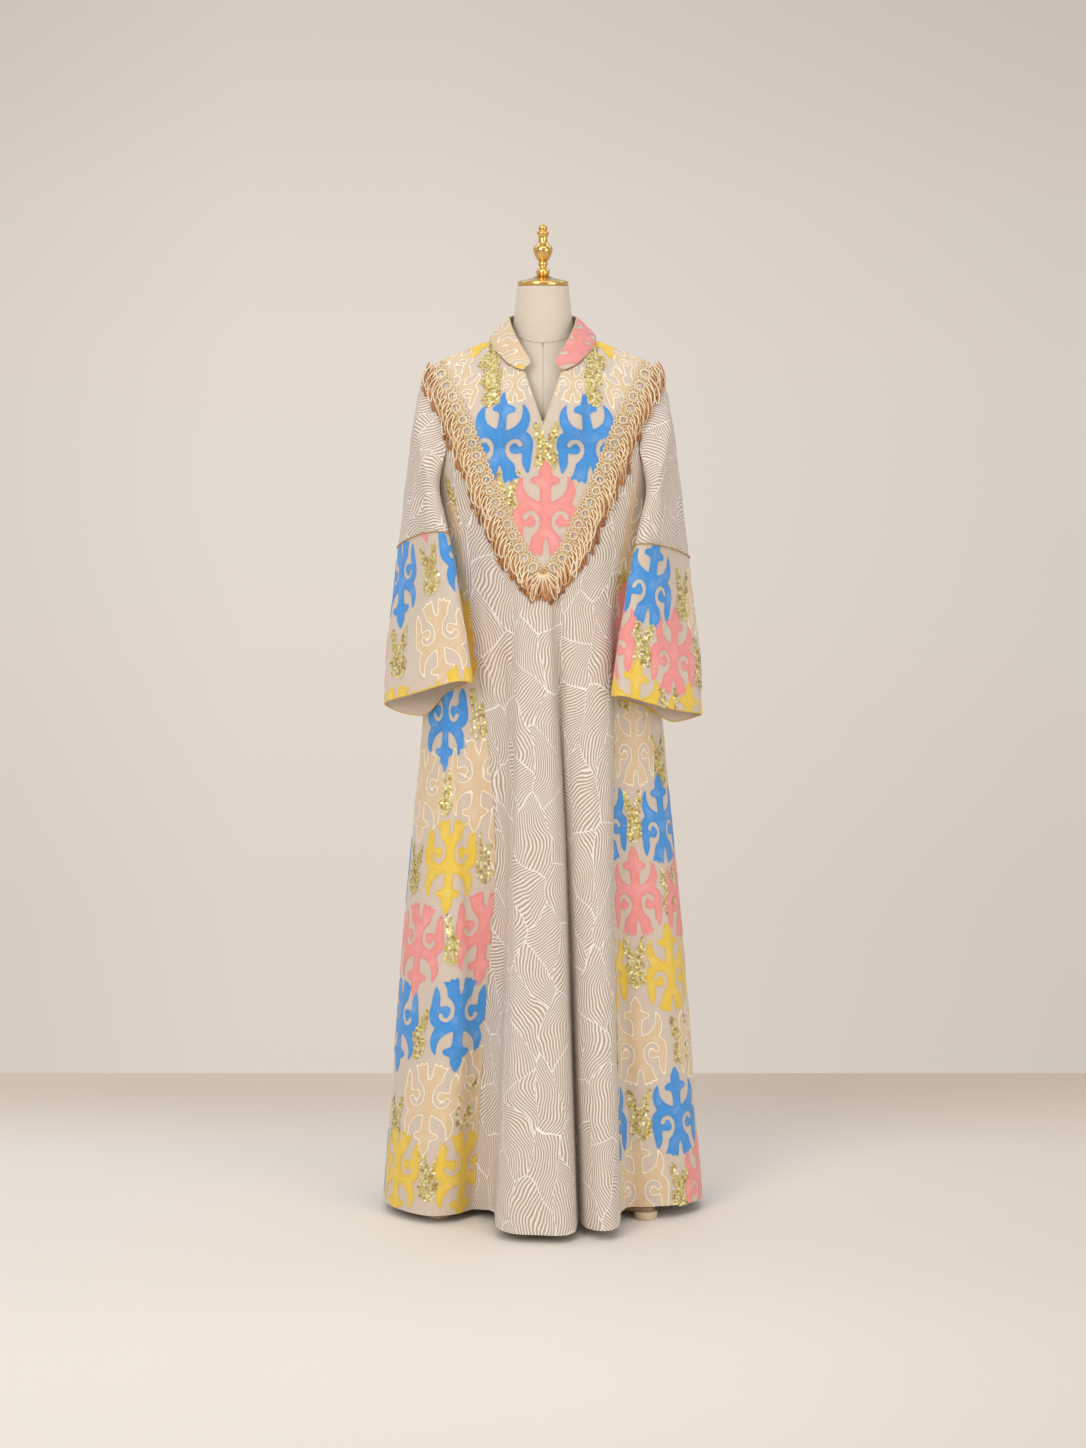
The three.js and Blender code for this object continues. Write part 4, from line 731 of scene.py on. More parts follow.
def v_reach(name, z):
    """Half width of a V line at a height (0 below its point)."""
    zs = [r['z'] for r in YOKE_V][::-1]
    xs = [r[name] for r in YOKE_V][::-1]
    return np.interp(z, zs, xs)


def v_field(name, x, z):
    """Positive inside the V line, about in mm."""
    w = v_reach(name, z)
    slope = (v_reach(name, z + 2) - v_reach(name, z - 2)) / 4
    return (w - np.abs(x)) / np.sqrt(1 + slope ** 2)


def slit_field(x, z):
    """Positive outside the neck slit."""
    half = np.clip((z - SLIT['foot']) / (SLIT['topZ'] - 4 - SLIT['foot']), -1, 1) * SLIT['topHalf']
    lean = SLIT['topHalf'] / (SLIT['topZ'] - 4 - SLIT['foot'])
    return (np.abs(x) - half) / math.sqrt(1 + lean ** 2)

# ---------------------------------------------------------------- the ornament
def stroke(x, y, points):
    """Distance inside a chain of round strokes: rows of (x, y, radius); positive inside."""
    best = np.full(x.shape, -1e3)
    for (ax, ay, ar), (bx, by, br) in zip(points[:-1], points[1:]):
        dx, dy = bx - ax, by - ay
        t = np.clip(((x - ax) * dx + (y - ay) * dy) / max(dx * dx + dy * dy, 1e-9), 0, 1)
        d = ar + (br - ar) * t - np.hypot(x - ax - dx * t, y - ay - dy * t)
        best = np.maximum(best, d)
    return best


def blend_max(a, b, k=2.5):
    h = np.clip(0.5 + 0.5 * (a - b) / k, 0, 1)
    return b + (a - b) * h + k * h * (1 - h)


# One half of the motif, in mm from its middle: rows of (across, up, radius).
MOTIF_BODY = [
    [(0, 71, 0.8), (0, 65, 4.8), (0, 56, 9.0), (0, 50, 9.2), (0, 43, 7.6), (0, 36, 8.6), (0, 24, 7.8), (0, 12, 7.6), (0, 0, 9), (0, -24, 8.6), (0, -42, 9.5)],
    [(2, 37, 7.5), (9, 40.5, 7), (15.5, 41, 5.0), (17.5, 39.5, 3.6)],
    [(32.5, 46, 0.8), (36, 36, 4.2), (36, 24, 6.8), (30, 12, 8.6), (18, 3.5, 9), (6, -1, 9)],
    [(0, -2, 9), (14, -2, 10.2), (28, -2.5, 10.8), (36.5, -8, 10.6), (39, -19, 8.6), (39, -30, 6.8), (38.5, -42, 6), (40, -54, 1.8)],
    [(37, -15, 8), (28, -19, 7.6), (21.5, -20.5, 7.4)],
    [(8, -34, 9), (12.5, -49, 9.4), (13.5, -57, 8)],
    [(15, -54, 7), (22, -60, 4), (28, -63.5, 0.8)],
    [(9.5, -58, 5.6), (8.4, -65, 3.6), (7.6, -70, 0.8)],
    [(14, -60, 5), (16, -66, 2.4), (17, -68.5, 0.8)],
]
MOTIF_GAP = [
    [(33, -62, 5.0), (29.5, -49, 3.7), (24, -40.5, 2.9), (16, -34, 2.9), (11.4, -24, 3.0), (12.8, -13, 3.0), (19, -7.2, 3.1), (26, -8, 3.3), (29.5, -13.5, 3.8)],
    [(0, -76, 4.6), (0, -66, 3.8), (0, -56, 2.8), (0, -47, 1.8)],
]


def rounded(points, k=4):
    """The same chain with a smooth line through its rows."""
    p = np.array(points, float)
    q = np.concatenate([p[:1], p, p[-1:]])
    out = []
    for i in range(len(p) - 1):
        a, b, c, d = q[i:i + 4]
        for j in range(k):
            t = j / k
            out.append(0.5 * (2 * b + (c - a) * t + (2 * a - 5 * b + 4 * c - d) * t * t + (3 * b - a - 3 * c + d) * t ** 3))
    out.append(p[-1])
    return [tuple(r) for r in out]


MOTIF_BODY = [MOTIF_BODY[0]] + [rounded(s) for s in MOTIF_BODY[1:]]
MOTIF_GAP = [rounded(MOTIF_GAP[0]), MOTIF_GAP[1]]


def motif(x, y):
    """Signed distance of the ornament, positive inside, in mm; x across, y up."""
    x = np.abs(x)
    d = None
    for s in MOTIF_BODY:
        e = stroke(x, y, s)
        d = e if d is None else blend_max(d, e)
    for s in MOTIF_GAP:
        d = np.minimum(d, -stroke(x, y, s))
    return d


def cluster(x, y):
    """Where sequins lie round a cluster's middle: two leaves that cross, open at the top."""
    x = np.abs(x)
    d = stroke(x, y, [(4, -2, 6), (10, 14, 7), (15, 33, 4)])
    d = np.maximum(d, stroke(x, y, [(3, 2, 6), (9, -13, 8), (8, -27, 8), (3, -36, 4)]))
    return np.minimum(d, -stroke(x, y, [(0, 40, 5), (0, 22, 2)]))


# Where motifs lie on each cloth: (across, up) in mm on the cloth, colour, 1 upright or -1 turned, and any size of its own.
BLUE, BEIGE, YELLOW, PINK = 0, 1, 2, 3
PLACES = {
    'yoke': [(-72, 1322, BLUE, 1), (77, 1321, BLUE, 1), (3, 1202, PINK, 1), (-206, 1486, BEIGE, 1, 0.8), (-168, 1408, BEIGE, 1, 0.78),
             (-48, 1428, BEIGE, 1, 0.72), (50, 1428, BEIGE, 1, 0.72), (162, 1408, BEIGE, 1, 0.78), (206, 1486, BEIGE, 1, 0.8), (-172, 1562, YELLOW, -1), (166, 1562, YELLOW, -1)],
    'left': [(81, 838, BLUE, -1), (157, 737, BEIGE, -1), (110, 601, YELLOW, -1), (30, 714, BEIGE, -1), (57, 456, PINK, -1),
             (188, 478, PINK, -1), (153, 335, BLUE, -1), (18, 320, BLUE, -1), (110, 190, BEIGE, -1), (50, 68, YELLOW, -1),
             (190, 74, YELLOW, -1), (238, 640, BEIGE, -1), (140, 985, YELLOW, -1), (138, 1135, BEIGE, -1), (215, 215, BEIGE, -1), (60, 1040, PINK, -1)],
    'right': [(-106, 809, BEIGE, 1), (-183, 686, BLUE, 1), (-50, 677, BLUE, 1), (-122, 558, PINK, 1), (-200, 432, YELLOW, 1),
              (-65, 425, YELLOW, 1), (-139, 304, BEIGE, 1), (-74, 178, BLUE, 1), (-222, 180, BLUE, 1), (-156, 69, BEIGE, 1),
              (-20, 57, PINK, 1), (-10, 545, PINK, 1), (-8, 300, BEIGE, 1), (-128, 1005, PINK, 1), (-134, 1165, BEIGE, 1), (-40, 930, YELLOW, 1)],
    'cuff_left': [(-38, 1081, BLUE, -1), (54, 958, BEIGE, -1), (128, 1090, BLUE, -1), (-46, 838, YELLOW, -1), (22, 822, YELLOW, -1),
                  (86, 845, YELLOW, -1), (50, 1202, PINK, -1), (-132, 960, PINK, -1), (-196, 1081, BEIGE, -1), (166, 946, PINK, -1), (-130, 850, YELLOW, -1)],
    'cuff_right': [(-57, 1069, BLUE, 1), (8, 968, PINK, 1), (-124, 968, PINK, 1), (92, 1069, BEIGE, 1), (-66, 864, YELLOW, 1),
                   (44, 846, YELLOW, 1), (-150, 860, YELLOW, 1), (-186, 1069, BEIGE, 1), (150, 968, BEIGE, 1), (140, 846, YELLOW, 1), (192, 1069, PINK, 1)],
}
# Sequin clusters: (across, up) in mm on the cloth.
CLUSTERS = {
    'yoke': [(5, 1302), (-132, 1494), (-115, 1452), (-103, 1414), (128, 1494), (110, 1452), (98, 1414), (-60, 1222)],
    'left': [(90, 731), (183, 616), (132, 480), (74, 317), (181, 200), (125, 78), (159, 857), (25, 592), (139, 1010), (30, 160), (139, 1210)],
    'right': [(-118, 686), (-39, 776), (-133, 440), (-48, 553), (-146, 180), (-54, 298), (-80, 52), (-120, 905), (-200, 560), (-210, 300), (-132, 1085)],
    'cuff_left': [(50, 1084), (-41, 966), (-114, 1060), (140, 1000), (-190, 960)],
    'cuff_right': [(-61, 966), (31, 1068), (-118, 1075), (140, 1070), (76, 955), (-2, 866)],
}
SIZES = {'yoke': (1.15, 1.12), 'left': (1.16, 1.13), 'right': (1.09, 1.08), 'cuff_left': (1.06, 1.04), 'cuff_right': (1.08, 1.05)}
# The turned-away halves of the side panels carry on with the same half-drop repeat.
for _panel, _sign in (('left', -1), ('right', 1)):
    for _k in range(3):
        _u = _sign * (60 + 74 * _k) if _panel == 'right' else _sign * (62 + 74 * _k)
        for _j in range(10):
            _v = 70 + 126 * _j + (63 if _k % 2 else 0)
            if abs(_u) < 225 and _v < 1240:
                PLACES[_panel].append((_u, _v, (_j + 2 * _k) % 4, 1 if _panel == 'right' else -1))
                CLUSTERS[_panel].append((_u, _v + 63 if _k % 2 else _v + 64))


def motif_field(places, u, v, size=(1.0, 1.0)):
    """The largest motif distance at each cloth point, and its colour number."""
    d = np.full(u.shape, -50.0)
    tone = np.zeros(u.shape)
    for mu, mv, colour, way, *own in places:
        kx, ky = (own[0], own[0]) if own else size
        near = (np.abs(u - mu) < 56 * kx) & (np.abs(v - mv) < 82 * ky)
        if not near.any():
            continue
        e = motif((u[near] - mu) / kx, (v[near] - mv) * way / ky) * ky
        old = d[near]
        tn = tone[near]
        win = e > old
        old[win] = e[win]
        tn[win] = colour
        d[near] = old
        tone[near] = tn
    return d, tone

# ---------------------------------------------------------------- meshes
def clip(points, faces, field, data):
    """Keep where field >= 0, cutting faces along field = 0. data: arrays by point. Returns the same, smaller."""
    keep_all = (field[faces] >= 0).all(1)
    keep_any = (field[faces] >= 0).any(1)
    out = [tuple(f) for f in faces[keep_all].tolist()]
    cuts = {}
    new = []

    def cut(a, b):
        key = (a, b) if a < b else (b, a)
        if key not in cuts:
            a, b = key
            t = field[a] / (field[a] - field[b])
            cuts[key] = len(points) + len(new)
            new.append((a, b, min(0.98, max(0.02, t))))
        return cuts[key]
    for f in faces[keep_any & ~keep_all].tolist():
        poly = []
        n = len(f)
        for i in range(n):
            a, b = f[i], f[(i + 1) % n]
            if field[a] >= 0:
                poly.append(a)
            if (field[a] >= 0) != (field[b] >= 0):
                poly.append(cut(a, b))
        if len(poly) >= 3:
            out.append(tuple(poly))
    if new:
        a = np.array([x[0] for x in new])
        b = np.array([x[1] for x in new])
        t = np.array([x[2] for x in new])[:, None]
        points = np.concatenate([points, points[a] * (1 - t) + points[b] * t])
        grown = {}
        for k, arr in data.items():
            tt = t if arr.ndim == 2 else t[:, 0]
            grown[k] = np.concatenate([arr, arr[a] * (1 - tt) + arr[b] * tt])
        data = grown
    used = np.zeros(len(points), bool)
    for f in out:
        for i in f:
            used[i] = True
    index = np.cumsum(used) - 1
    out = [tuple(int(index[i]) for i in f) for f in out]
    return points[used], out, {k: a[used] for k, a in data.items()}


def as_faces(faces):
    """Faces as one array of quads; a triangle repeats its last corner and a polygon is cut in pieces."""
    rows = []
    for f in faces:
        if len(f) == 4:
            rows.append(f)
        elif len(f) == 3:
            rows.append((f[0], f[1], f[2], f[2]))
        else:
            for i in range(1, len(f) - 1):
                rows.append((f[0], f[i], f[i + 1], f[i + 1]))
    return np.array(rows)


def clip_again(points, faces, field, data):
    return clip(points, as_faces(faces), field, data)


def clean(face):
    out = []
    for i in face:
        if not out or out[-1] != i:
            out.append(i)
    if len(out) > 1 and out[0] == out[-1]:
        out.pop()
    return tuple(out)


def shell(points, normals, faces, outer, inner, data, open_back=False):
    """A thin solid between two offsets along the normals; open_back leaves the inner side off."""
    n = len(points)
    faces = [clean(f) for f in faces]
    faces = [f for f in faces if len(f) >= 3]
    o = np.broadcast_to(np.asarray(outer, float), (n,))[:, None]
    i = np.broadcast_to(np.asarray(inner, float), (n,))[:, None]
    at = np.concatenate([points + normals * o, points + normals * i])
    grown = {k: np.concatenate([a, a]) for k, a in data.items()}
    edges = {}
    for f in faces:
        for a, b in zip(f, f[1:] + f[:1]):
            edges[(a, b)] = True
    rim = [(a, b) for (a, b) in edges if (b, a) not in edges]
    out = list(faces)
    if not open_back:
        out += [tuple(x + n for x in f[::-1]) for f in faces]
    out += [(b, a, a + n, b + n) for a, b in rim]
    return at, out, grown


def build(name, points, faces, material, data=None, uv=None, flat=False):
    """A Blender mesh from millimetre points. data: one number or colour a point."""
    mesh = bpy.data.meshes.new(name)
    mesh.from_pydata((np.asarray(points) * MM).tolist(), [], faces)
    mesh.update()
    if uv is not None:
        layer = mesh.uv_layers.new(name="cloth")
        loops = np.empty(len(mesh.loops), dtype=np.int32)
        mesh.loops.foreach_get("vertex_index", loops)
        layer.data.foreach_set("uv", (uv[loops] * MM).astype(np.float32).ravel())
    for key, a in (data or {}).items():
        if a.ndim == 1:
            layer = mesh.attributes.new(key, 'FLOAT', 'POINT')
            layer.data.foreach_set("value", a.astype(np.float32))
        else:
            layer = mesh.color_attributes.new(key, 'FLOAT_COLOR', 'POINT')
            rgba = np.concatenate([a, np.ones((len(a), 1))], 1) if a.shape[1] == 3 else a
            layer.data.foreach_set("color", rgba.astype(np.float32).ravel())
    if not flat:
        mesh.polygons.foreach_set("use_smooth", [True] * len(mesh.polygons))
    obj = bpy.data.objects.new(name, mesh)
    bpy.context.scene.collection.objects.link(obj)
    for m in (material if isinstance(material, (list, tuple)) else [material]):
        mesh.materials.append(m)
    return obj


def sharp_rims(obj, degrees=50):
    """Keep the thin edges of a shell crisp."""
    mesh = obj.data
    mesh.set_sharp_from_angle(angle=math.radians(degrees))
    return obj


def area_mm2(points, faces):
    total = 0.0
    p = np.asarray(points)
    q = as_faces(faces)
    a, b, c, d = p[q[:, 0]], p[q[:, 1]], p[q[:, 2]], p[q[:, 3]]
    total = np.linalg.norm(np.cross(b - a, c - a), axis=1).sum() / 2 + np.linalg.norm(np.cross(c - a, d - a), axis=1).sum() / 2
    return total


class Bundle:
    """Many small closed shapes joined in one mesh, each with its own colour."""

    def __init__(self):
        self.p, self.f, self.c = [], [], []
        self.n = 0

    def add(self, points, faces, colour):
        points = np.asarray(points, float)
        self.p.append(points)
        self.f += [tuple(i + self.n for i in f) for f in faces]
        c = np.asarray(colour, float)
        self.c.append(np.broadcast_to(c, (len(points), 3)) if c.ndim == 1 else c)
        self.n += len(points)

    def tube(self, line, radius, colour, sides=5, closed=False):
        line = np.asarray(line, float)
        m = len(line)
        if closed:
            t = np.roll(line, -1, 0) - np.roll(line, 1, 0)
        else:
            t = np.gradient(line, axis=0)
        t /= np.maximum(np.linalg.norm(t, axis=1), 1e-9)[:, None]
        ref = np.array([0.0, 1.0, 0.12])
        a = np.cross(t, ref)
        a /= np.maximum(np.linalg.norm(a, axis=1), 1e-9)[:, None]
        b = np.cross(t, a)
        r = np.broadcast_to(np.asarray(radius, float), (m,))
        ang = np.arange(sides) * 2 * np.pi / sides
        ring = (a[:, None] * np.cos(ang)[None, :, None] + b[:, None] * np.sin(ang)[None, :, None]) * r[:, None, None]
        pts = (line[:, None] + ring).reshape(-1, 3)
        faces = []
        last = m if closed else m - 1
        for i in range(last):
            j = (i + 1) % m
            for k in range(sides):
                l = (k + 1) % sides
                faces.append((i * sides + k, i * sides + l, j * sides + l, j * sides + k))
        if not closed:
            faces.append(tuple(range(sides))[::-1])
            faces.append(tuple((m - 1) * sides + k for k in range(sides)))
        c = np.asarray(colour, float)
        if c.ndim == 2:
            c = np.repeat(c, sides, 0)
        self.add(pts, faces, c)

    def object(self, name, material):
        return build(name, np.concatenate(self.p), self.f, material, data={"dye": np.concatenate(self.c)})


def srgb(*rgb):
    """A screen colour, 0 to 255, as light."""
    out = []
    for v in rgb:
        v = v / 255
        out.append(v / 12.92 if v <= 0.04045 else ((v + 0.055) / 1.055) ** 2.4)
    return tuple(out)

# ---------------------------------------------------------------- materials
class Nodes:
    """Short calls for building a material."""

    def __init__(self, name):
        self.mat = bpy.data.materials.new(name)
        self.mat.use_nodes = True
        self.t = self.mat.node_tree
        self.t.nodes.clear()
        self.out = self.t.nodes.new("ShaderNodeOutputMaterial")
        self.bsdf = self.t.nodes.new("ShaderNodeBsdfPrincipled")
        self.t.links.new(self.bsdf.outputs[0], self.out.inputs[0])

    def _in(self, socket, value):
        if value is None:
            return
        if hasattr(value, "is_output"):
            self.t.links.new(value, socket)
        elif hasattr(value, "__len__") and len(value) == 3 and len(getattr(socket, "default_value", (0,) * 3)) == 4:
            socket.default_value = (*value, 1)
        else:
            socket.default_value = value

    def math(self, op, a, b=None, c=None, clamp=False):
        n = self.t.nodes.new("ShaderNodeMath")
        n.operation = op
        n.use_clamp = clamp
        for i, v in enumerate((a, b, c)):
            self._in(n.inputs[i], v)
        return n.outputs[0]

    def vec(self, op, a, b=None):
        n = self.t.nodes.new("ShaderNodeVectorMath")
        n.operation = op
        self._in(n.inputs[0], a)
        self._in(n.inputs[1], b)
        return n.outputs["Value"] if op in ("LENGTH", "DOT_PRODUCT", "DISTANCE") else n.outputs[0]

    def uv(self):
        n = self.t.nodes.new("ShaderNodeUVMap")
        n.uv_map = "cloth"
        return n.outputs[0]

    def where(self):
        return self.t.nodes.new("ShaderNodeTexCoord").outputs["Object"]

    def attribute(self, name, colour=False):
        n = self.t.nodes.new("ShaderNodeAttribute")
        n.attribute_name = name
        return n.outputs["Color"] if colour else n.outputs["Fac"]

    def noise(self, vector, scale, detail=2.0, rough=0.5, colour=False):
        n = self.t.nodes.new("ShaderNodeTexNoise")
        self._in(n.inputs["Vector"], vector)
        n.inputs["Scale"].default_value = scale
        n.inputs["Detail"].default_value = detail
        n.inputs["Roughness"].default_value = rough
        return n.outputs["Color"] if colour else n.outputs["Fac"]

    def voronoi(self, vector, scale=1.0, feature='F1', dims='2D', randomness=1.0):
        n = self.t.nodes.new("ShaderNodeTexVoronoi")
        n.voronoi_dimensions = dims
        n.feature = feature
        self._in(n.inputs["Vector"], vector)
        n.inputs["Scale"].default_value = scale
        n.inputs["Randomness"].default_value = randomness
        return n.outputs

    def mix(self, fac, a, b, kind='MIX'):
        n = self.t.nodes.new("ShaderNodeMix")
        n.data_type = 'RGBA'
        n.blend_type = kind
        self._in(n.inputs[0], fac)
        self._in(n.inputs[6], a)
        self._in(n.inputs[7], b)
        return n.outputs[2]

    def ramp(self, value, low, high, to_low=0.0, to_high=1.0, smooth_=True):
        n = self.t.nodes.new("ShaderNodeMapRange")
        if smooth_:
            n.interpolation_type = 'SMOOTHSTEP'
        for i, v in enumerate((value, low, high, to_low, to_high)):
            self._in(n.inputs[i], v)
        return n.outputs[0]

    def split(self, vector):
        n = self.t.nodes.new("ShaderNodeSeparateXYZ")
        self._in(n.inputs[0], vector)
        return n.outputs[0], n.outputs[1], n.outputs[2]

    def join(self, x, y, z=0.0):
        n = self.t.nodes.new("ShaderNodeCombineXYZ")
        for i, v in enumerate((x, y, z)):
            self._in(n.inputs[i], v)
        return n.outputs[0]

    def bump(self, height, distance, strength=1.0, normal=None):
        n = self.t.nodes.new("ShaderNodeBump")
        n.inputs["Strength"].default_value = strength
        n.inputs["Distance"].default_value = distance
        self._in(n.inputs["Height"], height)
        self._in(n.inputs["Normal"], normal)
        return n.outputs[0]

    def finish(self, colour, rough, normal=None, metal=None, **sockets):
        self._in(self.bsdf.inputs["Base Color"], colour)
        self._in(self.bsdf.inputs["Roughness"], rough)
        self._in(self.bsdf.inputs["Normal"], normal)
        self._in(self.bsdf.inputs["Metallic"], metal)
        for k, v in sockets.items():
            self._in(self.bsdf.inputs[k.replace("_", " ")], v)
        return self.mat


def leaf_cloth():
    """Raised lines laid in leaf-shaped patches that meet at veins."""
    m = Nodes("leaf_cloth")
    uv = m.uv()
    wob = m.noise(uv, 11.0, 1.5, colour=True)
    wob = m.vec('SUBTRACT', wob, (0.5, 0.5, 0.5))
    moved = m.vec('ADD', uv, m.vec('MULTIPLY', wob, (0.050, 0.055, 0.0)))
    x, y, _ = m.split(moved)
    # leaf cells, long and leaning: one patch is about 45 by 95 mm
    ax, ay, bx, by = 21.0, 3.2, -4.4, 9.6
    det = ax * by - ay * bx
    cx = m.math('ADD', m.math('MULTIPLY', x, ax), m.math('MULTIPLY', y, ay))
    cy = m.math('ADD', m.math('MULTIPLY', y, by), m.math('MULTIPLY', x, bx))
    cell = m.join(cx, cy)
    f1 = m.voronoi(cell, 1.0, 'F1', randomness=0.9)
    edge = m.voronoi(cell, 1.0, 'DISTANCE_TO_EDGE', randomness=0.9)["Distance"]
    pick_x, pick_y, pick_z = m.split(f1["Color"])
    px, py, _ = m.split(f1["Position"])
    lx = m.math('SUBTRACT', cx, px)
    ly = m.math('SUBTRACT', cy, py)
    # the same place in metres from the middle of its patch
    ux = m.math('ADD', m.math('MULTIPLY', lx, by / det), m.math('MULTIPLY', ly, -ay / det))
    uy = m.math('ADD', m.math('MULTIPLY', lx, -bx / det), m.math('MULTIPLY', ly, ax / det))
    # each patch has its own direction; about a third of them lean far over, and the lines fan a little
    lean = m.ramp(pick_x, 0.0, 1.0, -0.4, 0.4, smooth_=False)
    far = m.math('GREATER_THAN', pick_y, 0.66)
    side = m.math('SIGN', m.math('SUBTRACT', pick_z, 0.5))
    angle = m.math('ADD', lean, m.math('MULTIPLY', far, m.math('MULTIPLY', side, 0.8)))
    angle = m.math('ADD', angle, m.math('MULTIPLY', m.math('MULTIPLY', uy, side), 5.0))
    ripple = m.noise(uv, 55.0, 1.5)
    across = m.math('ADD', m.math('MULTIPLY', ux, m.math('COSINE', angle)), m.math('MULTIPLY', uy, m.math('SINE', angle)))
    across = m.math('ADD', across, m.math('MULTIPLY', ripple, 0.0032))
    across = m.math('ADD', across, m.math('MULTIPLY', pick_z, 0.005))
    wave = m.math('SINE', m.math('MULTIPLY', across, 2 * math.pi / 0.0048))
    line = m.ramp(wave, -0.35, 0.55)
    vein = m.ramp(edge, 0.004, 0.018, 1.0, 0.0)
    line = m.math('MAXIMUM', line, vein)
    fine = m.noise(uv, 900.0, 2.0)
    patch = m.noise(uv, 6.0, 2.0)
    ground = m.mix(fine, srgb(187, 166, 147), srgb(177, 155, 136))
    thread = m.mix(patch, srgb(240, 231, 221), srgb(232, 221, 210))
    colour = m.mix(line, ground, thread)
    colour = m.mix(m.math('MULTIPLY', vein, 0.6), colour, srgb(250, 245, 238))
    height = m.math('ADD', line, m.math('MULTIPLY', vein, 0.4))
    normal = m.bump(height, 0.0011, 0.8)
    normal = m.bump(fine, 0.0002, 0.4, normal)
    return m.finish(colour, 0.72, normal, Sheen_Weight=0.15, Specular_IOR_Level=0.3)


def ground_cloth():
    """The fine ground that carries the ornament."""
    m = Nodes("ornament_cloth")
    uv = m.uv()
    x, y, _ = m.split(uv)
    weave = m.math('MULTIPLY', m.math('SINE', m.math('MULTIPLY', x, 2 * math.pi / 0.0016)), m.math('SINE', m.math('MULTIPLY', y, 2 * math.pi / 0.0016)))
    fine = m.noise(uv, 420.0, 2.0)
    patch = m.noise(uv, 5.0, 3.0)
    colour = m.mix(patch, srgb(207, 190, 173), srgb(215, 199, 183))
    colour = m.mix(m.ramp(fine, 0.35, 0.7, 0.0, 0.35), colour, srgb(190, 170, 150))
    normal = m.bump(weave, 0.00018, 0.6)
    normal = m.bump(fine, 0.0003, 0.35, normal)
    return m.finish(colour, 0.62, normal, Sheen_Weight=0.25, Specular_IOR_Level=0.35)


def applique():
    """Laid-on ornament: its dye by point, and 'edge', the distance in mm from its outline."""
    m = Nodes("applique")
    uv = m.uv()
    dye = m.attribute("dye", colour=True)
    pale = m.attribute("pale")
    edge = m.attribute("edge")
    grain = m.voronoi(uv, 520.0, 'F1')["Distance"]
    fine = m.noise(uv, 700.0, 2.0)
    patch = m.noise(uv, 40.0, 2.0)
    lighter = m.mix(0.32, dye, (1.0, 1.0, 1.0))
    darker = m.mix(0.78, (0.0, 0.0, 0.0), dye)
    colour = m.mix(m.ramp(grain, 0.1, 0.75, 0.0, 0.5), dye, darker)
    colour = m.mix(m.ramp(patch, 0.45, 0.8, 0.0, 0.35), colour, lighter)
    rim = m.ramp(edge, 1.7, 2.5, 1.0, 0.0)
    seam = m.ramp(m.math('ABSOLUTE', m.math('SUBTRACT', edge, 2.5)), 0.25, 0.9, 1.0, 0.0)
    colour = m.mix(m.math('MULTIPLY', rim, m.math('MULTIPLY_ADD', pale, 0.85, 0.22)), colour, m.mix(pale, dye, srgb(246, 231, 203)))
    colour = m.mix(m.math('MULTIPLY', seam, 0.3), colour, darker)
    height = m.math('ADD', m.math('MULTIPLY', rim, 0.8), m.math('MULTIPLY', grain, m.math('MULTIPLY_ADD', pale, -0.7, -0.3)))
    height = m.math('SUBTRACT', height, m.math('MULTIPLY', seam, 0.5))
    normal = m.bump(height, 0.0006, 0.8)
    normal = m.bump(fine, 0.0002, 0.5, normal)
    return m.finish(colour, 0.78, normal, Sheen_Weight=0.2, Specular_IOR_Level=0.3)


def dyed(name, rough, metal=0.0, grain=0.0, twist=False, coat=0.0, sheen=0.0):
    """Coloured by point."""
    m = Nodes(name)
    at = m.where()
    fine = m.noise(at, 900.0, 2.0)
    dye = m.attribute("dye", colour=True)
    colour = m.mix(m.ramp(fine, 0.3, 0.75, 0.0, grain), dye, m.mix(0.55, (0.0, 0.0, 0.0), dye)) if grain else dye
    normal = m.bump(fine, 0.0003, 0.5) if grain else None
    return m.finish(colour, rough, normal, Metallic=metal, Coat_Weight=coat, Sheen_Weight=sheen)


def linen():
    m = Nodes("form_linen")
    at = m.where()
    x, y, z = m.split(at)
    weave = m.noise(m.vec('MULTIPLY', at, (1.0, 1.0, 2.6)), 620.0, 2.0)
    weave2 = m.noise(m.vec('MULTIPLY', at, (2.6, 2.6, 1.0)), 560.0, 2.0)
    threads = m.math('ADD', weave, weave2)
    patch = m.noise(at, 7.0, 2.0)
    colour = m.mix(m.ramp(threads, 0.75, 1.3, 0.0, 0.6), srgb(214, 201, 184), srgb(200, 185, 166))
    colour = m.mix(m.math('MULTIPLY', patch, 0.25), colour, srgb(207, 191, 172))
    normal = m.bump(threads, 0.0003, 0.5)
    return m.finish(colour, 0.85, normal, Sheen_Weight=0.2, Specular_IOR_Level=0.25)


def gold():
    m = Nodes("gold_metal")
    at = m.where()
    marks = m.noise(at, 60.0, 3.0)
    return m.finish(srgb(226, 186, 112), m.ramp(marks, 0.3, 0.7, 0.15, 0.26), None, Metallic=1.0)


def painted(name, a, b, rough=0.5):
    m = Nodes(name)
    at = m.where()
    marks = m.noise(at, 90.0, 3.0)
    return m.finish(m.mix(marks, a, b), m.ramp(marks, 0.3, 0.7, rough - 0.06, rough + 0.08), m.bump(marks, 0.0002, 0.3))


def plain(name, colour, rough=0.6, sheen=0.0, **more):
    m = Nodes(name)
    at = m.where()
    fine = m.noise(at, 800.0, 2.0)
    c = m.mix(m.ramp(fine, 0.3, 0.75, 0.0, 0.35), colour, tuple(v * 0.7 for v in colour))
    return m.finish(c, rough, m.bump(fine, 0.0002, 0.4), Sheen_Weight=sheen, **more)

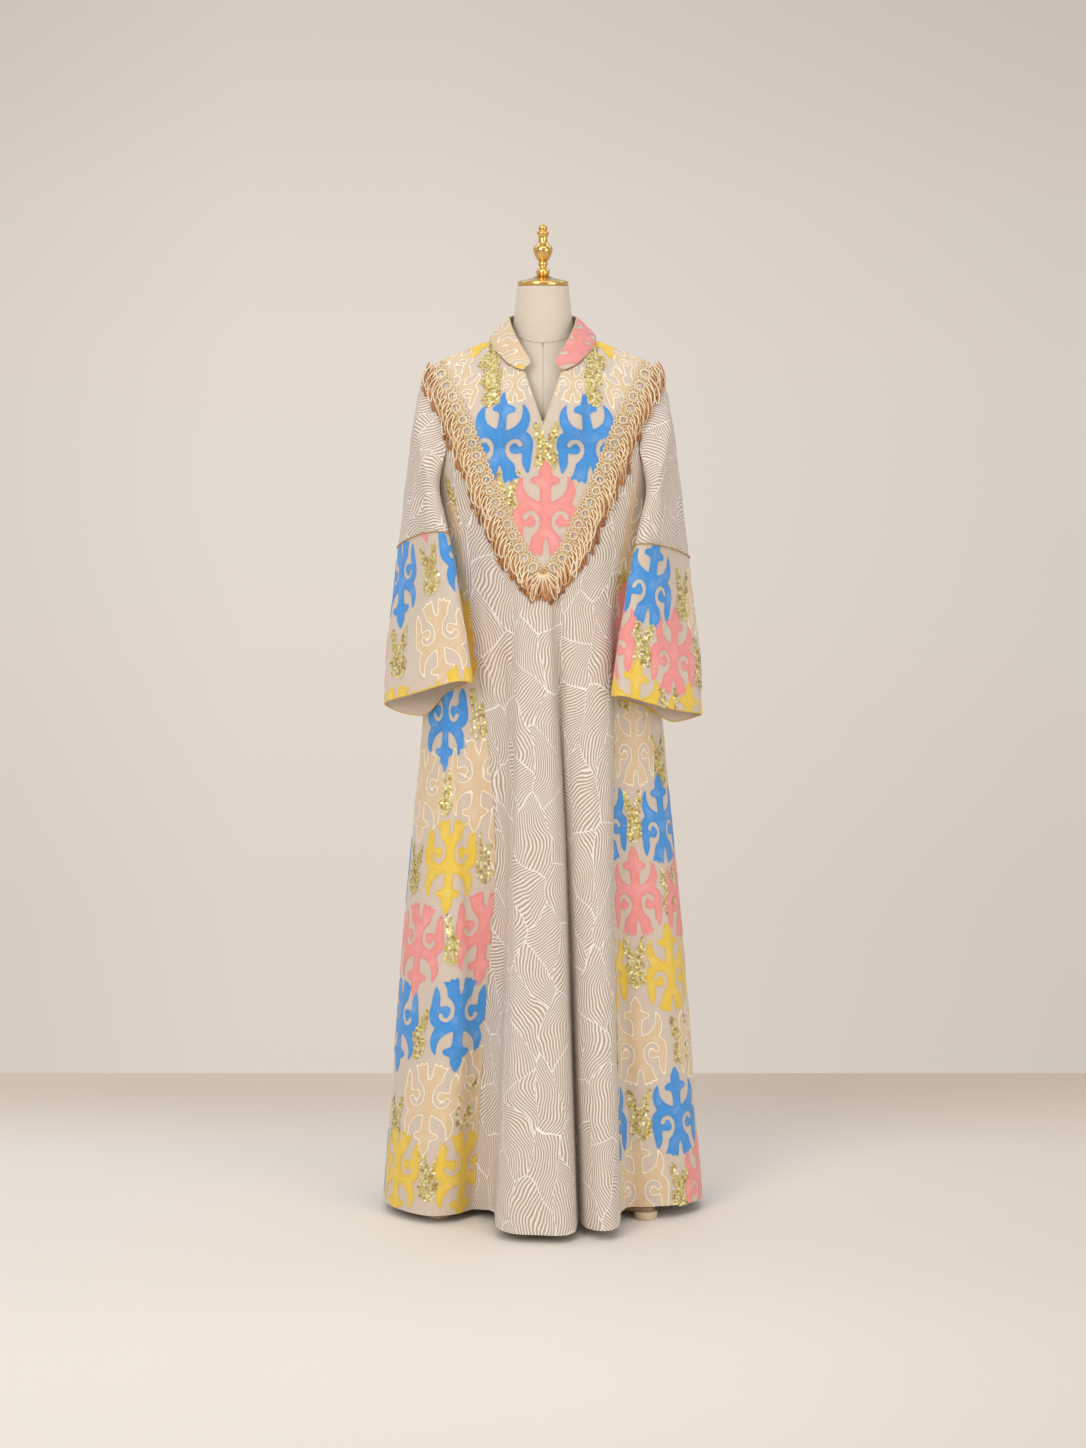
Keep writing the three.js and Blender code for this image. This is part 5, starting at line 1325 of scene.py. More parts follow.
# ---------------------------------------------------------------- the cloth pieces
MAT = {
    'leaf': leaf_cloth(), 'ground': ground_cloth(), 'applique': applique(),
    'sequin': dyed("sequin", 0.34, metal=0.3, coat=0.25),
    'braid': dyed("braid", 0.5, grain=0.35, sheen=0.2), 'fringe': dyed("fringe", 0.42, grain=0.4, sheen=0.2),
    'piping': dyed("piping", 0.5, grain=0.4), 'linen': linen(), 'gold': gold(),
    'stand': painted("stand_metal", srgb(150, 126, 98), srgb(128, 104, 78), 0.45),
    'foot': painted("stand_foot", srgb(214, 192, 160), srgb(196, 172, 138), 0.5),
    'seam': plain("form_seam", srgb(176, 152, 124), 0.8),
}
DYES = np.array([srgb(72, 147, 216), srgb(224, 196, 158), srgb(233, 196, 76), srgb(238, 150, 144)])
WALL = 1.4


def creased(s, rows, keep=16.0, foot=False):
    """Soft troughs and ridges, listed one by one: (across, up, lean in degrees, half length, half width, height) in mm.
    """
    h = np.zeros(s.u.shape)
    for u0, v0, lean, length, width, height in rows:
        a = math.radians(lean)
        du, dv = s.u - u0, s.v - v0
        along = du * math.sin(a) + dv * math.cos(a)
        over = du * math.cos(a) - dv * math.sin(a)
        h += height * np.exp(-(over / width) ** 2) * np.exp(-(along / length) ** 4)
    if not s.closed:
        side = np.minimum(s.u - s.u[:, :1], s.u[:, -1:] - s.u)
        h *= smooth(side / keep)
    h *= smooth((s.v[-1:] - s.v) / keep)
    if foot:
        h *= smooth((s.v - s.v[:1]) / keep)
    return s.raised(h)


FRONT_CREASES = [
    (-72, 640, 2.3, 390, 8, -4.0), (-50, 660, 2.3, 390, 10, 2.2), (-96, 560, 3.5, 330, 9, -2.4), (74, 640, -3, 360, 10, 1.8),
    (-20, 1010, -3, 90, 11, -1.6), (34, 1020, 4, 80, 9, 1.5), (66, 985, 7, 110, 12, -1.6), (-70, 960, -6, 120, 13, 1.5),
    (8, 930, 2, 120, 10, 1.3), (100, 1000, 12, 100, 12, -1.5), (-108, 1020, -12, 90, 11, -1.6), (120, 1130, 25, 60, 10, -1.8),
    (-125, 1120, -26, 60, 11, -1.8), (-40, 700, -3, 150, 14, 1.2), (20, 620, 2, 180, 13, -1.2), (118, 700, 5, 160, 12, 1.3),
    (-80, 1330, 35, 40, 9, 1.2), (84, 1335, -35, 40, 9, 1.2), (-120, 1400, 20, 35, 8, -1.2), (122, 1400, -20, 35, 8, -1.2),
    (-10, 380, -1, 140, 12, 1.2), (50, 300, 2, 160, 11, -1.3), (-46, 260, -4, 130, 13, -1.0),
]
BACK_CREASES = [
    (0, 1000, 0, 120, 12, -1.8), (50, 980, 5, 110, 12, 1.6), (-52, 1010, -5, 120, 12, 1.6), (100, 1040, 14, 90, 12, -1.8),
    (-98, 1030, -14, 90, 12, -1.8), (20, 700, 2, 170, 14, 1.4), (-30, 640, -2, 170, 14, -1.4), (80, 1180, 28, 60, 11, -1.8),
    (-82, 1190, -28, 60, 11, -1.8), (-70, 1350, 35, 45, 10, 1.4), (66, 1360, -32, 45, 10, 1.4), (0, 1440, 90, 60, 9, -1.2),
]
SIDE_CREASES = [
    (60, 960, -4, 110, 12, -1.6), (110, 860, -3, 120, 12, 1.5), (0, 1060, 3, 80, 12, -1.6), (-70, 940, 4, 110, 12, 1.5),
    (-120, 820, 5, 120, 13, -1.4), (90, 520, -2, 150, 13, -1.3), (150, 400, -4, 120, 12, 1.2), (-60, 500, 3, 150, 13, 1.3),
    (20, 640, 1, 140, 12, 1.2), (60, 240, -2, 120, 13, -1.2), (-140, 320, 4, 130, 13, 1.2),
]
SLEEVE_CREASES_UP = [
    (-30, 1240, 24, 62, 12, -3.2), (14, 1205, 20, 58, 11, 2.8), (40, 1252, 30, 52, 11, -2.8), (-60, 1300, 18, 60, 12, 2.4),
    (70, 1180, 24, 46, 11, 2.4), (0, 1330, 12, 55, 12, -2.2), (52, 1330, 14, 46, 11, 2.0), (-90, 1210, 20, 50, 12, 2.4),
]
SLEEVE_CREASES_CUFF = [
    (-20, 1050, 10, 90, 16, -2.2), (34, 1000, 8, 90, 15, 2.2), (-70, 980, 4, 80, 14, 2.0), (70, 1040, 12, 70, 13, -2.0),
    (-110, 1040, 6, 80, 14, -1.8),
]


def relaxed(s, rounds=1500):
    """The cloth laid flat: u and v are moved until lengths on the flat match those on the surface."""
    p = s.p
    q = np.stack([s.u, s.v], -1)
    r, c, _ = p.shape
    pairs = []
    for dr, dc in ((0, 1), (1, 0), (1, 1), (1, -1)):
        a = (slice(0, r - dr), slice(max(0, -dc), c - max(0, dc)))
        b = (slice(dr, r), slice(max(0, dc), c - max(0, -dc)))
        pairs.append((a, b, np.linalg.norm(p[b] - p[a], axis=-1)))
    count = np.zeros((r, c, 1))
    for a, b, _ in pairs:
        count[a] += 1
        count[b] += 1
    for _ in range(rounds):
        move = np.zeros_like(q)
        for a, b, length in pairs:
            d = q[b] - q[a]
            now = np.maximum(np.linalg.norm(d, axis=-1), 1e-6)
            d *= (0.5 * (now - length) / now)[..., None]
            move[a] += d
            move[b] -= d
        move[0] = 0
        q += 2.56 * move / count
    s.u, s.v = q[..., 0], q[..., 1]
    return s


def turned(s, degrees, squeeze=0.85):
    """The cloth pattern of a piece cut on the cross: its flat coordinates are turned, and a little narrower."""
    a = math.radians(degrees)
    u, v = s.u * squeeze, s.v - 1290.0
    s.u, s.v = u * math.cos(a) - v * math.sin(a), u * math.sin(a) + v * math.cos(a) + 1290.0
    return s


def flip(rows):
    return [(-u, v, -lean, l, w, h) for u, v, lean, l, w, h in rows]


FRONT = creased(body_surface('front'), FRONT_CREASES)
BACK = creased(body_surface('back'), BACK_CREASES)
RIGHT = creased(body_surface('right'), SIDE_CREASES)
LEFT = creased(body_surface('left'), flip(SIDE_CREASES))
SLEEVES = {}
for _name, _spec in (('left', LEFT_SLEEVE), ('right', RIGHT_SLEEVE)):
    _up, _cuff = sleeve_surfaces(_spec)
    if _name == 'right':
        SLEEVES[_name] = (turned(relaxed(creased(_up, flip(SLEEVE_CREASES_UP), foot=True)), -62), creased(_cuff, flip(SLEEVE_CREASES_CUFF)))
    else:
        SLEEVES[_name] = (turned(relaxed(creased(_up, SLEEVE_CREASES_UP, foot=True)), 62), creased(_cuff, SLEEVE_CREASES_CUFF))


def tree(*surfaces):
    pts, faces, n = [], [], 0
    for s in surfaces:
        p, _, _, q = s.mesh()
        pts.append(p)
        faces.append(q + n)
        n += len(p)
    return BVHTree.FromPolygons(np.concatenate(pts).tolist(), np.concatenate(faces).tolist())


FRONT_TREE = tree(FRONT)
DRAPE_TREE = tree(FRONT, SLEEVES['left'][0], SLEEVES['right'][0])


def on_front(x, z, over=None):
    """The cloth's point and outward normal where a line straight back meets it, or None."""
    hit = (over or FRONT_TREE).ray_cast(Vector((x, -600.0, z)), Vector((0, 1, 0)), 760)
    if hit[0] is None or hit[0].y > 40:
        return None
    n = hit[1]
    if n.y > 0:
        n = -n
    return np.array(hit[0]), np.array(n)


def surface_piece(name, s, material, field=None, node=None, wall=WALL, extra=None, long_rows=False):
    if s.closed:
        s = s.finer(1)                      # opened along its back, so the weave doesn't run back on itself
    elif long_rows:
        s = s.finer(1, 0.5)
    p, n, uv, q = s.mesh()
    data = {'n': n, 'uv': uv}
    faces = [tuple(f) for f in q.tolist()]
    if field is not None:
        p, faces, data = clip(p, q, field(p), data)
        if extra is not None:
            p, faces, data = clip_again(p, faces, extra(p), data)
    nrm = data.pop('n')
    nrm /= np.maximum(np.linalg.norm(nrm, axis=1), 1e-9)[:, None]
    area = area_mm2(p, faces) * 1e-6
    at, out, data = shell(p, nrm, faces, 0.0, -wall, data)
    uv = data.pop('uv')
    obj = sharp_rims(build(name, at, out, material, data, uv))
    return obj, area


AREAS = {}
front_obj, AREAS['front_panel'] = surface_piece("cloth_front_panel", FRONT, MAT['leaf'], lambda p: np.where(p[:, 2] > 1030, -v_field('seam', p[:, 0], p[:, 2]) - 0.15, 50.0), long_rows=True)
yoke_obj, AREAS['yoke'] = surface_piece("cloth_yoke", FRONT, MAT['ground'], lambda p: np.where(p[:, 2] > 1030, v_field('seam', p[:, 0], p[:, 2]) - 0.15, -50.0), extra=lambda p: slit_field(p[:, 0], p[:, 2]))
back_obj, AREAS['back_panel'] = surface_piece("cloth_back_panel", BACK, MAT['leaf'], long_rows=True)
right_obj, AREAS['side_panel_right'] = surface_piece("cloth_side_panel_right", RIGHT, MAT['ground'], long_rows=True)
left_obj, AREAS['side_panel_left'] = surface_piece("cloth_side_panel_left", LEFT, MAT['ground'], long_rows=True)
SLEEVE_OBJ = {}
for _name in ('left', 'right'):
    up, cuff = SLEEVES[_name]
    for part, s, m in (('upper', up, MAT['leaf']), ('cuff', cuff, MAT['ground'])):
        o, a = surface_piece(f"cloth_sleeve_{part}_{_name}", s, m)
        SLEEVE_OBJ[part, _name] = o
        AREAS[f'sleeve_{part}_{_name}'] = a

# collar: its own middle surface, thicker and stiffer
_cg = collar_grid(70, np.linspace(0, 1, 18))
COLLAR_S = Surface(_cg, middle=_cg.shape[1] // 2, v_ref=(0, np.zeros(_cg.shape[1])))
if COLLAR_S.n[3, 0, 1] > 0:
    COLLAR_S.n = -COLLAR_S.n
_p, _n, _uv, _q = COLLAR_S.mesh()
_n0 = np.cross(_p[_q[0, 1]] - _p[_q[0, 0]], _p[_q[0, 3]] - _p[_q[0, 0]])
if np.dot(_n0, _n[_q[0, 0]]) < 0:
    _q = _q[:, ::-1]
_at, _f, _d = shell(_p, _n, [tuple(f) for f in _q.tolist()], COLLAR_WALL / 2, -COLLAR_WALL / 2, {'uv': _uv})
AREAS['collar'] = area_mm2(_p, [tuple(f) for f in _q.tolist()]) * 1e-6
collar_obj = sharp_rims(build("cloth_collar", _at, _f, MAT['ground'], None, _d['uv']))


# ---------------------------------------------------------------- ornament laid on the cloth
def lay_ornament(name, s, which, field=None, k=2, height=0.9):
    fine = s.finer(k)
    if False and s.closed:
        fine = s.finer(1)
    p, n, uv, q = fine.mesh()
    places, size = (PLACES[which], SIZES[which]) if isinstance(which, str) else (which, (1.0, 1.0))
    d, tone = motif_field(places, uv[:, 0], uv[:, 1], size)
    shape = d
    if field is not None:
        d = np.minimum(d, field(p))
    dye = DYES[tone.astype(int)]
    data = {'n': n, 'uv': uv, 'dye': dye, 'edge': shape, 'pale': (tone == BEIGE).astype(float)}
    p, faces, data = clip(p, q, d, data)
    nrm = data.pop('n')
    nrm /= np.maximum(np.linalg.norm(nrm, axis=1), 1e-9)[:, None]
    at, out, data = shell(p, nrm, faces, height, 0.1, data, open_back=True)
    uv = data.pop('uv')
    obj = sharp_rims(build(name, at, out, MAT['applique'], data, uv), 40)
    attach(obj, "root")
    return obj


lay_ornament("ornament_yoke", FRONT, 'yoke',
             lambda p: np.where(p[:, 2] > 1040, np.minimum(v_field('seam', p[:, 0], p[:, 2]) - 1.0, slit_field(p[:, 0], p[:, 2]) - 1.5), -50.0))
lay_ornament("ornament_side_right", RIGHT, 'right', k=1.5)
lay_ornament("ornament_side_left", LEFT, 'left', k=1.5)
lay_ornament("ornament_cuff_left", SLEEVES['left'][1], 'cuff_left')
lay_ornament("ornament_cuff_right", SLEEVES['right'][1], 'cuff_right')
_L = COLLAR_S.u[0, -1]
_sc = Surface.__new__(Surface)
_sc.__dict__.update(COLLAR_S.__dict__)
_sc.p = COLLAR_S.p + COLLAR_S.n * (COLLAR_WALL / 2)
_flip = np.dot(_n0, _n[0]) < 0
lay_ornament("ornament_collar", _sc, [(-_L + 38, 12, PINK, 1), (-_L + 98, 28, PINK, -1), (_L - 40, 30, BEIGE, 1), (_L - 104, 6, BEIGE, -1), (0, 24, YELLOW, 1), (_L - 8, -52, YELLOW, 1)], k=1)

# ---------------------------------------------------------------- sequins
SEQUIN_DYES = [srgb(222, 206, 136), srgb(202, 178, 96), srgb(172, 142, 66), srgb(230, 222, 176), srgb(216, 200, 130), srgb(208, 188, 110)]


def sequins(name, s, which, field=None):
    fine = s.finer(2)
    p, n, uv, _ = fine.mesh()
    bundle = Bundle()
    taken, _ = motif_field(PLACES[which], uv[:, 0], uv[:, 1], SIZES[which])
    for cu, cv in CLUSTERS[which]:
        near = np.nonzero((np.abs(uv[:, 0] - cu) < 33) & (np.abs(uv[:, 1] - cv) < 58))[0]
        if len(near) < 30:
            continue
        pitch = 4.3
        row = 0
        y = -50.0
        while y < 50:
            x = -27.0 + (row % 2) * pitch / 2
            while x < 27:
                jx, jy = x + RNG.uniform(-1.0, 1.0), y + RNG.uniform(-1.0, 1.0)
                x += pitch
                if cluster(np.array([jx / 1.1]), np.array([jy / 1.12]))[0] < 0:
                    continue
                d = (uv[near, 0] - cu - jx) ** 2 + (uv[near, 1] - cv - jy) ** 2
                i = near[d.argmin()]
                if d.min() > 9 or taken[i] > 0.2:
                    continue
                if field is not None and field(p[i:i + 1])[0] < 2.5:
                    continue
                normal = n[i] + np.array([RNG.uniform(-0.3, 0.3), RNG.uniform(-0.1, 0.1), RNG.uniform(-0.3, 0.3)])
                normal /= np.linalg.norm(normal)
                a = np.cross(normal, (0.1, 0.2, 1.0))
                a /= np.linalg.norm(a)
                b = np.cross(normal, a)
                r = RNG.uniform(2.0, 2.9)
                m = 6
                centre = p[i] + n[i] * RNG.uniform(0.9, 1.5)
                ring = [centre + (a * math.cos(t * 2 * math.pi / m) + b * math.sin(t * 2 * math.pi / m)) * r for t in range(m)]
                back = [q - normal * 0.35 for q in ring]
                faces = [tuple(range(m)), tuple(m + t for t in range(m))[::-1]]
                faces += [(t, t + m, (t + 1) % m + m, (t + 1) % m) for t in range(m)]
                k = RNG.random()
                colour = SEQUIN_DYES[min(5, int(k * 6))]
                bundle.add(ring + back, [f[::-1] for f in faces], colour)
            y += pitch * 0.86
            row += 1
    if not bundle.n:
        return None
    obj = bundle.object(name, MAT['sequin'])
    obj.data.polygons.foreach_set("use_smooth", [False] * len(obj.data.polygons))
    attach(obj, "root")
    return obj


sequins("sequins_yoke", FRONT, 'yoke', lambda p: np.where(p[:, 2] > 1040, np.minimum(v_field('inner', p[:, 0], p[:, 2]), slit_field(p[:, 0], p[:, 2])), -50.0))
sequins("sequins_side_right", RIGHT, 'right')
sequins("sequins_side_left", LEFT, 'left')
sequins("sequins_cuff_left", SLEEVES['left'][1], 'cuff_left')
sequins("sequins_cuff_right", SLEEVES['right'][1], 'cuff_right')

# ---------------------------------------------------------------- braid and fringe along the V
CREAM = srgb(240, 221, 184)
# painted shade: the dark cream given to the braid's low places, where shade falls
CREAM_PAINTED_SHADE = srgb(172, 130, 82)
CREAM_LIGHT = srgb(244, 226, 188)
BRONZE = srgb(184, 122, 70)
BRONZE_DEEP = srgb(150, 90, 50)
BRONZE_LIGHT = srgb(206, 152, 98)
TAN = srgb(216, 172, 118)


def v_line(name_a, name_b, mix_, top_z=1446.0):
    """Points (x, z) down the right half of the V between two of its lines, evenly spaced by 1 mm."""
    zs = np.linspace(top_z, 1060, 1600)
    x = v_reach(name_a, zs) * (1 - mix_) + v_reach(name_b, zs) * mix_
    keep = x >= 0
    zs, x = zs[keep], x[keep]
    run = np.concatenate([[0], np.cumsum(np.hypot(np.diff(x), np.diff(zs)))])
    # rounded so the corners of the table don't show
    t = np.arange(0, run[-1], 1.0)
    px, pz = np.interp(t, run, x), np.interp(t, run, zs)
    k = 17
    pad = k // 2
    w = np.hanning(k + 2)[1:-1]
    w /= w.sum()
    ex = np.concatenate([2 * px[0] - px[pad:0:-1], px, 2 * px[-1] - px[-2:-pad - 2:-1]])
    ez = np.concatenate([2 * pz[0] - pz[pad:0:-1], pz, 2 * pz[-1] - pz[-2:-pad - 2:-1]])
    return np.column_stack([np.convolve(ex, w, 'valid'), np.convolve(ez, w, 'valid')])


MID = v_line('inner', 'outer', 0.5)
_t = np.gradient(MID, axis=0)
_t /= np.linalg.norm(_t, axis=1)[:, None]
MID_OUT = np.column_stack([-_t[:, 1], _t[:, 0]])          # away from the yoke, in the X Z plane
if MID_OUT[200, 0] < 0:
    MID_OUT = -MID_OUT
HALF_BAND = 10.5


def v_place(side, t, s_):
    """Plan point (x, z) on a half of the V: t mm down its middle line, s mm out from it."""
    i = min(len(MID) - 1.001, max(0.0, t))
    j = int(i)
    f = i - j
    m = MID[j] * (1 - f) + MID[j + 1] * f
    o = MID_OUT[j] * (1 - f) + MID_OUT[j + 1] * f
    x, z = m + o * s_
    return side * x, z


def ring_rows(length):
    """Rings down the band: (t, s, radius, stretch), a little uneven, as hand-made braid is."""
    r = random.Random(11)
    out = []
    t = 9.0
    while t < length - 8:
        out.append((t, r.uniform(-1.6, 1.8), r.uniform(3.9, 5.2), r.uniform(0.76, 1.05)))
        t += r.uniform(19.0, 23.5)
    return out


def eye_rows(rings):
    """Small eyes between the rings and by the edges."""
    r = random.Random(12)
    out = []
    for (a, _, _, _), (b, _, _, _) in zip(rings[:-1], rings[1:]):
        m = (a + b) / 2
        out += [(m + r.uniform(-1.5, 1.5), -5.4 + r.uniform(-0.8, 0.8), r.uniform(1.2, 1.9)), (m + r.uniform(-1.5, 1.5), 5.2 + r.uniform(-0.8, 0.8), r.uniform(1.2, 1.8)),
                (a + r.uniform(-1, 1), -10.3 + r.uniform(-0.5, 0.5), r.uniform(1.2, 1.6)), (m + r.uniform(-1, 1), -11.4, 1.1), (a + r.uniform(-1, 1), 10.2, 1.2)]
    return out


def braid(side, name, node):
    """Open-work braid: a lace of rings and small eyes with a lobed inner edge."""
    pitch_t = 1.1
    pitch_s = 1.05
    ts = np.arange(0, len(MID) - 1, pitch_t)
    ss = np.arange(-17.0, 15.1, pitch_s)
    rings = ring_rows(len(MID))
    eyes = eye_rows(rings)
    T, S_ = np.meshgrid(ts, ss, indexing='ij')
    ring_d = np.full(T.shape, 99.0)
    rim_d = np.full(T.shape, 99.0)
    for t0, s0, r0, k in rings:
        near = np.abs(ts - t0) < 16
        d = np.hypot((T[near] - t0), (S_[near] - s0) * k) - r0
        ring_d[near] = np.minimum(ring_d[near], d)
        rim_d[near] = np.minimum(rim_d[near], np.abs(d - 1.7))
    eye_d = np.full(T.shape, 99.0)
    for t0, s0, r0 in eyes:
        near = np.abs(ts - t0) < 8
        d = np.hypot(T[near] - t0, S_[near] - s0) - r0
        eye_d[near] = np.minimum(eye_d[near], d)
    lobes = np.abs(np.sin(np.pi * T / 9.6 + 0.5 * np.sin(T / 23.0)))
    edge_in = 12.2 + 3.4 * lobes + S_
    edge_out = 11.6 + 1.6 * np.abs(np.sin(np.pi * T / 6.3)) - S_
    edge_ = np.minimum(edge_in, edge_out)
    field = np.minimum(np.minimum(ring_d, eye_d), edge_)
    high = np.full(T.shape, 0.8)
    high = np.maximum(high, 0.8 + 1.7 * np.exp(-(rim_d / 1.0) ** 2))
    high = np.maximum(high, 0.8 + 1.2 * np.exp(-((eye_d - 1.2) / 0.8) ** 2))
    high = np.maximum(high, 0.8 + 1.3 * np.exp(-((edge_ - 1.3) / 0.9) ** 2))
    cord = 0.5 + 0.5 * np.sin(T * 1.15 + 3.2 * np.sin(S_ * 0.36) + 0.9 * S_)
    high = np.maximum(high, 0.7 + 0.75 * cord)
    # painted shade by height: the braid's low places get dark shaded cream, its raised cords light cream
    painted_lit_share = np.clip((high - 0.85) / 1.25, 0, 1)
    rows_p, rows_n, ok = [], [], []
    for t in ts:
        for s_ in ss:
            x, z = v_place(side, t, s_)
            hit = on_front(x, z) if side * x > 0.2 else None
            if hit is None:
                rows_p.append((x, 0, z))
                rows_n.append((0, -1, 0))
                ok.append(-5.0)
            else:
                rows_p.append(hit[0])
                rows_n.append(hit[1])
                ok.append(5.0)
    r, c = len(ts), len(ss)
    p = np.array(rows_p, float)
    n = np.array(rows_n, float)
    # even out the facet normals
    ng = n.reshape(r, c, 3)
    for _ in range(3):
        e = np.pad(ng, ((1, 1), (1, 1), (0, 0)), mode='edge')
        ng = (e[:-2, 1:-1] + e[2:, 1:-1] + e[1:-1, :-2] + e[1:-1, 2:] + 2 * e[1:-1, 1:-1]) / 6
    n = ng.reshape(-1, 3)
    n /= np.linalg.norm(n, axis=1)[:, None]
    idx = np.arange(r * c).reshape(r, c)
    q = np.stack([idx[:-1, :-1], idx[:-1, 1:], idx[1:, 1:], idx[1:, :-1]], -1).reshape(-1, 4)
    a = p[q[len(q) // 2]]
    if np.dot(np.cross(a[1] - a[0], a[3] - a[0]), n[q[len(q) // 2, 0]]) < 0:
        q = q[:, ::-1]
    painted_lit_share = painted_lit_share.ravel()[:, None]
    dye = np.array(CREAM_PAINTED_SHADE) * (1 - painted_lit_share) + np.array(CREAM_LIGHT) * painted_lit_share
    data = {'n': n, 'high': high.ravel(), 'dye': dye, 'hole': field.ravel()}
    p, faces, data = clip(p, q, np.array(ok), data)
    p, faces, data = clip_again(p, faces, data['hole'], data)
    nn = data.pop('n')
    nn /= np.linalg.norm(nn, axis=1)[:, None]
    high_ = data.pop('high')
    data.pop('hole')
    area = area_mm2(p, faces) * 1e-6
    at, out, data = shell(p, nn, faces, 1.0 + high_, 0.5, data)
    obj = sharp_rims(build(name, at, out, MAT['braid'], data), 60)
    return obj, area


def loop_line(side, root, out, reach, wide, swing, lift, droop=1.0):
    """One hanging loop, from root to root, laid on the cloth from its plan in X and Z."""
    line = []
    m = 14
    down = np.array([0.0, -1.0])
    for j in range(m):
        q = j / (m - 1)
        a = 2 * math.pi * (q - 0.5)
        along = 0.5 * (1 + math.cos(a))                     # 0 at both roots, 1 at the tip
        across_ = math.sin(a) * wide * (0.5 + 0.6 * along) + (q - 0.5) * 1.6
        d = out * (1.0 - droop * (0.2 + 0.6 * along)) + down * droop * (0.42 + 0.85 * along)
        d /= np.linalg.norm(d)
        side_v = np.array([-d[1], d[0]])
        x, z = root + d * reach * along + side_v * (across_ + swing * reach * along * along)
        hit = on_front(x, z, DRAPE_TREE)
        if hit is None:
            if line:
                line.append(np.array([x, line[-1][1], z]))
            continue
        line.append(hit[0] + hit[1] * (lift + 1.8 * math.sin(math.pi * along)))
    return line


def loop_colour(layer, count):
    """Bronze loops beneath, cream ones over: the cord's colour at each point, paler at the roots."""
    q = np.abs(np.linspace(-1, 1, count))[:, None]           # 1 at the roots, 0 at the tip
    pick = RNG.random()
    if layer == 0:
        root, tip = BRONZE_LIGHT, (BRONZE_DEEP if pick > 0.55 else BRONZE)
    else:
        root, tip = CREAM_LIGHT, (BRONZE_LIGHT if pick > 0.75 else TAN if pick > 0.4 else CREAM)
    w = smooth(q * 1.5 - 0.25)
    return np.array(root) * w + np.array(tip) * (1 - w)


def fringe(side, name, node):
    """Loops of cord from under the braid: a close bronze layer, and over it wider cream loops that stand apart."""
    bundle = Bundle()
    length = len(MID) - 1
    slow = 1.0
    for layer, step, reach0, spread, thick, lift in ((0, 4.2, 44.0, 7.0, 1.5, 2.2), (1, 10.6, 41.0, 6.0, 1.25, 4.8)):
        t = 1.0 + 2.0 * layer
        while t < length - 1:
            short = 1.0 - 0.26 * float(smooth(np.array([(t - 0.72 * length) / (0.28 * length)]))[0])
            reach = (reach0 + RNG.uniform(-spread, 4.0)) * short
            root = np.array(v_place(side, t, HALF_BAND - (1.5, 3.0)[layer]))
            out = np.array(v_place(side, t, HALF_BAND + 10)) - np.array(v_place(side, t, HALF_BAND))
            out /= np.linalg.norm(out)
            wide = RNG.uniform(2.6, 3.4) if layer == 0 else RNG.uniform(3.6, 4.8)
            line = loop_line(side, root, out, reach, wide, RNG.uniform(-0.24, 0.24), lift + RNG.uniform(-0.4, 0.6))
            if len(line) >= 5 and side * (root[0] + out[0] * 8) > 0.5:
                bundle.tube(line, thick * RNG.uniform(0.9, 1.12), loop_colour(layer, len(line)), sides=7)
            t += (step + RNG.uniform(-0.12, 0.12) * step) * slow
    # the foot of the V: loops fan round the corner
    end = np.array([0.0, MID[-1][1] + 17.0])
    for layer, count, reach0, thick, lift in ((0, 9, 44.0, 1.4, 3.6), (1, 4, 39.0, 1.2, 6.0)):
        for k in range(count):
            a = math.radians(66.0) * (k + 0.5) / count
            out = np.array([side * math.sin(a), -math.cos(a)])
            line = loop_line(side, end + out * (4.0 + 3.0 * layer), out, reach0 + RNG.uniform(-5.0, 3.0), 2.8 if layer == 0 else RNG.uniform(3.2, 4.0),
                             RNG.uniform(-0.1, 0.1), lift, droop=0.3)
            if len(line) >= 5:
                bundle.tube(line, thick, loop_colour(layer, len(line)), sides=7)
    return bundle.object(name, MAT['fringe'])


for _side, _name in ((1, 'right'), (-1, 'left')):
    obj, area = braid(_side, f"trim_braid_{_name}", f"braid_{_name}")
    AREAS[f'braid_{_name}'] = area
    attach(obj, "root")
    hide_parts(f"braid_{_name}")
    obj = fringe(_side, f"trim_fringe_{_name}", f"fringe_{_name}")
    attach(obj, "root")
    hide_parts(f"fringe_{_name}")

# ---------------------------------------------------------------- piping and bound edges
def ride(obj, slot_name, *nodes):
    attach(obj, "root")
    if nodes:
        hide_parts(*nodes)
    return obj


GOLD_CORD = srgb(198, 158, 92)
YELLOW_EDGE = srgb(222, 184, 92)
for _name in ('left', 'right'):
    up, cuff = SLEEVES[_name]
    ring = cuff.p[-1]
    out = cuff.n[-1].copy()
    out[:, 2] = 0
    out /= np.linalg.norm(out, axis=1)[:, None]
    b = Bundle()
    m = 360
    t = np.linspace(0, len(ring), m, endpoint=False)
    def around(a, t=t):
        i = t.astype(int) % len(ring)
        f = (t - t.astype(int))[:, None]
        return a[i] * (1 - f) + a[(i + 1) % len(ring)] * f
    path, nout = around(ring), around(out)
    for k in range(2):
        a = np.linspace(0, 2 * math.pi * 90, m, endpoint=False) + k * math.pi
        line = path + nout * (1.5 + 0.5 * np.cos(a))[:, None] + np.array([0, 0, 1.0]) * (0.55 * np.sin(a))[:, None]
        b.tube(line, 0.75, np.array(GOLD_CORD) * (1.0 if k else 0.86), sides=5, closed=True)
    ride(b.object(f"piping_cord_{_name}", MAT['piping']), "piping", f"piping_{_name}")
    b = Bundle()
    hem = around(cuff.p[0])
    hn = around(cuff.n[0])
    b.tube(hem - hn * 0.7 + np.array([0, 0, 0.2]), 1.25, YELLOW_EDGE, sides=7, closed=True)
    ride(b.object(f"cuff_edge_{_name}", MAT['piping']), "ornament_cloth")

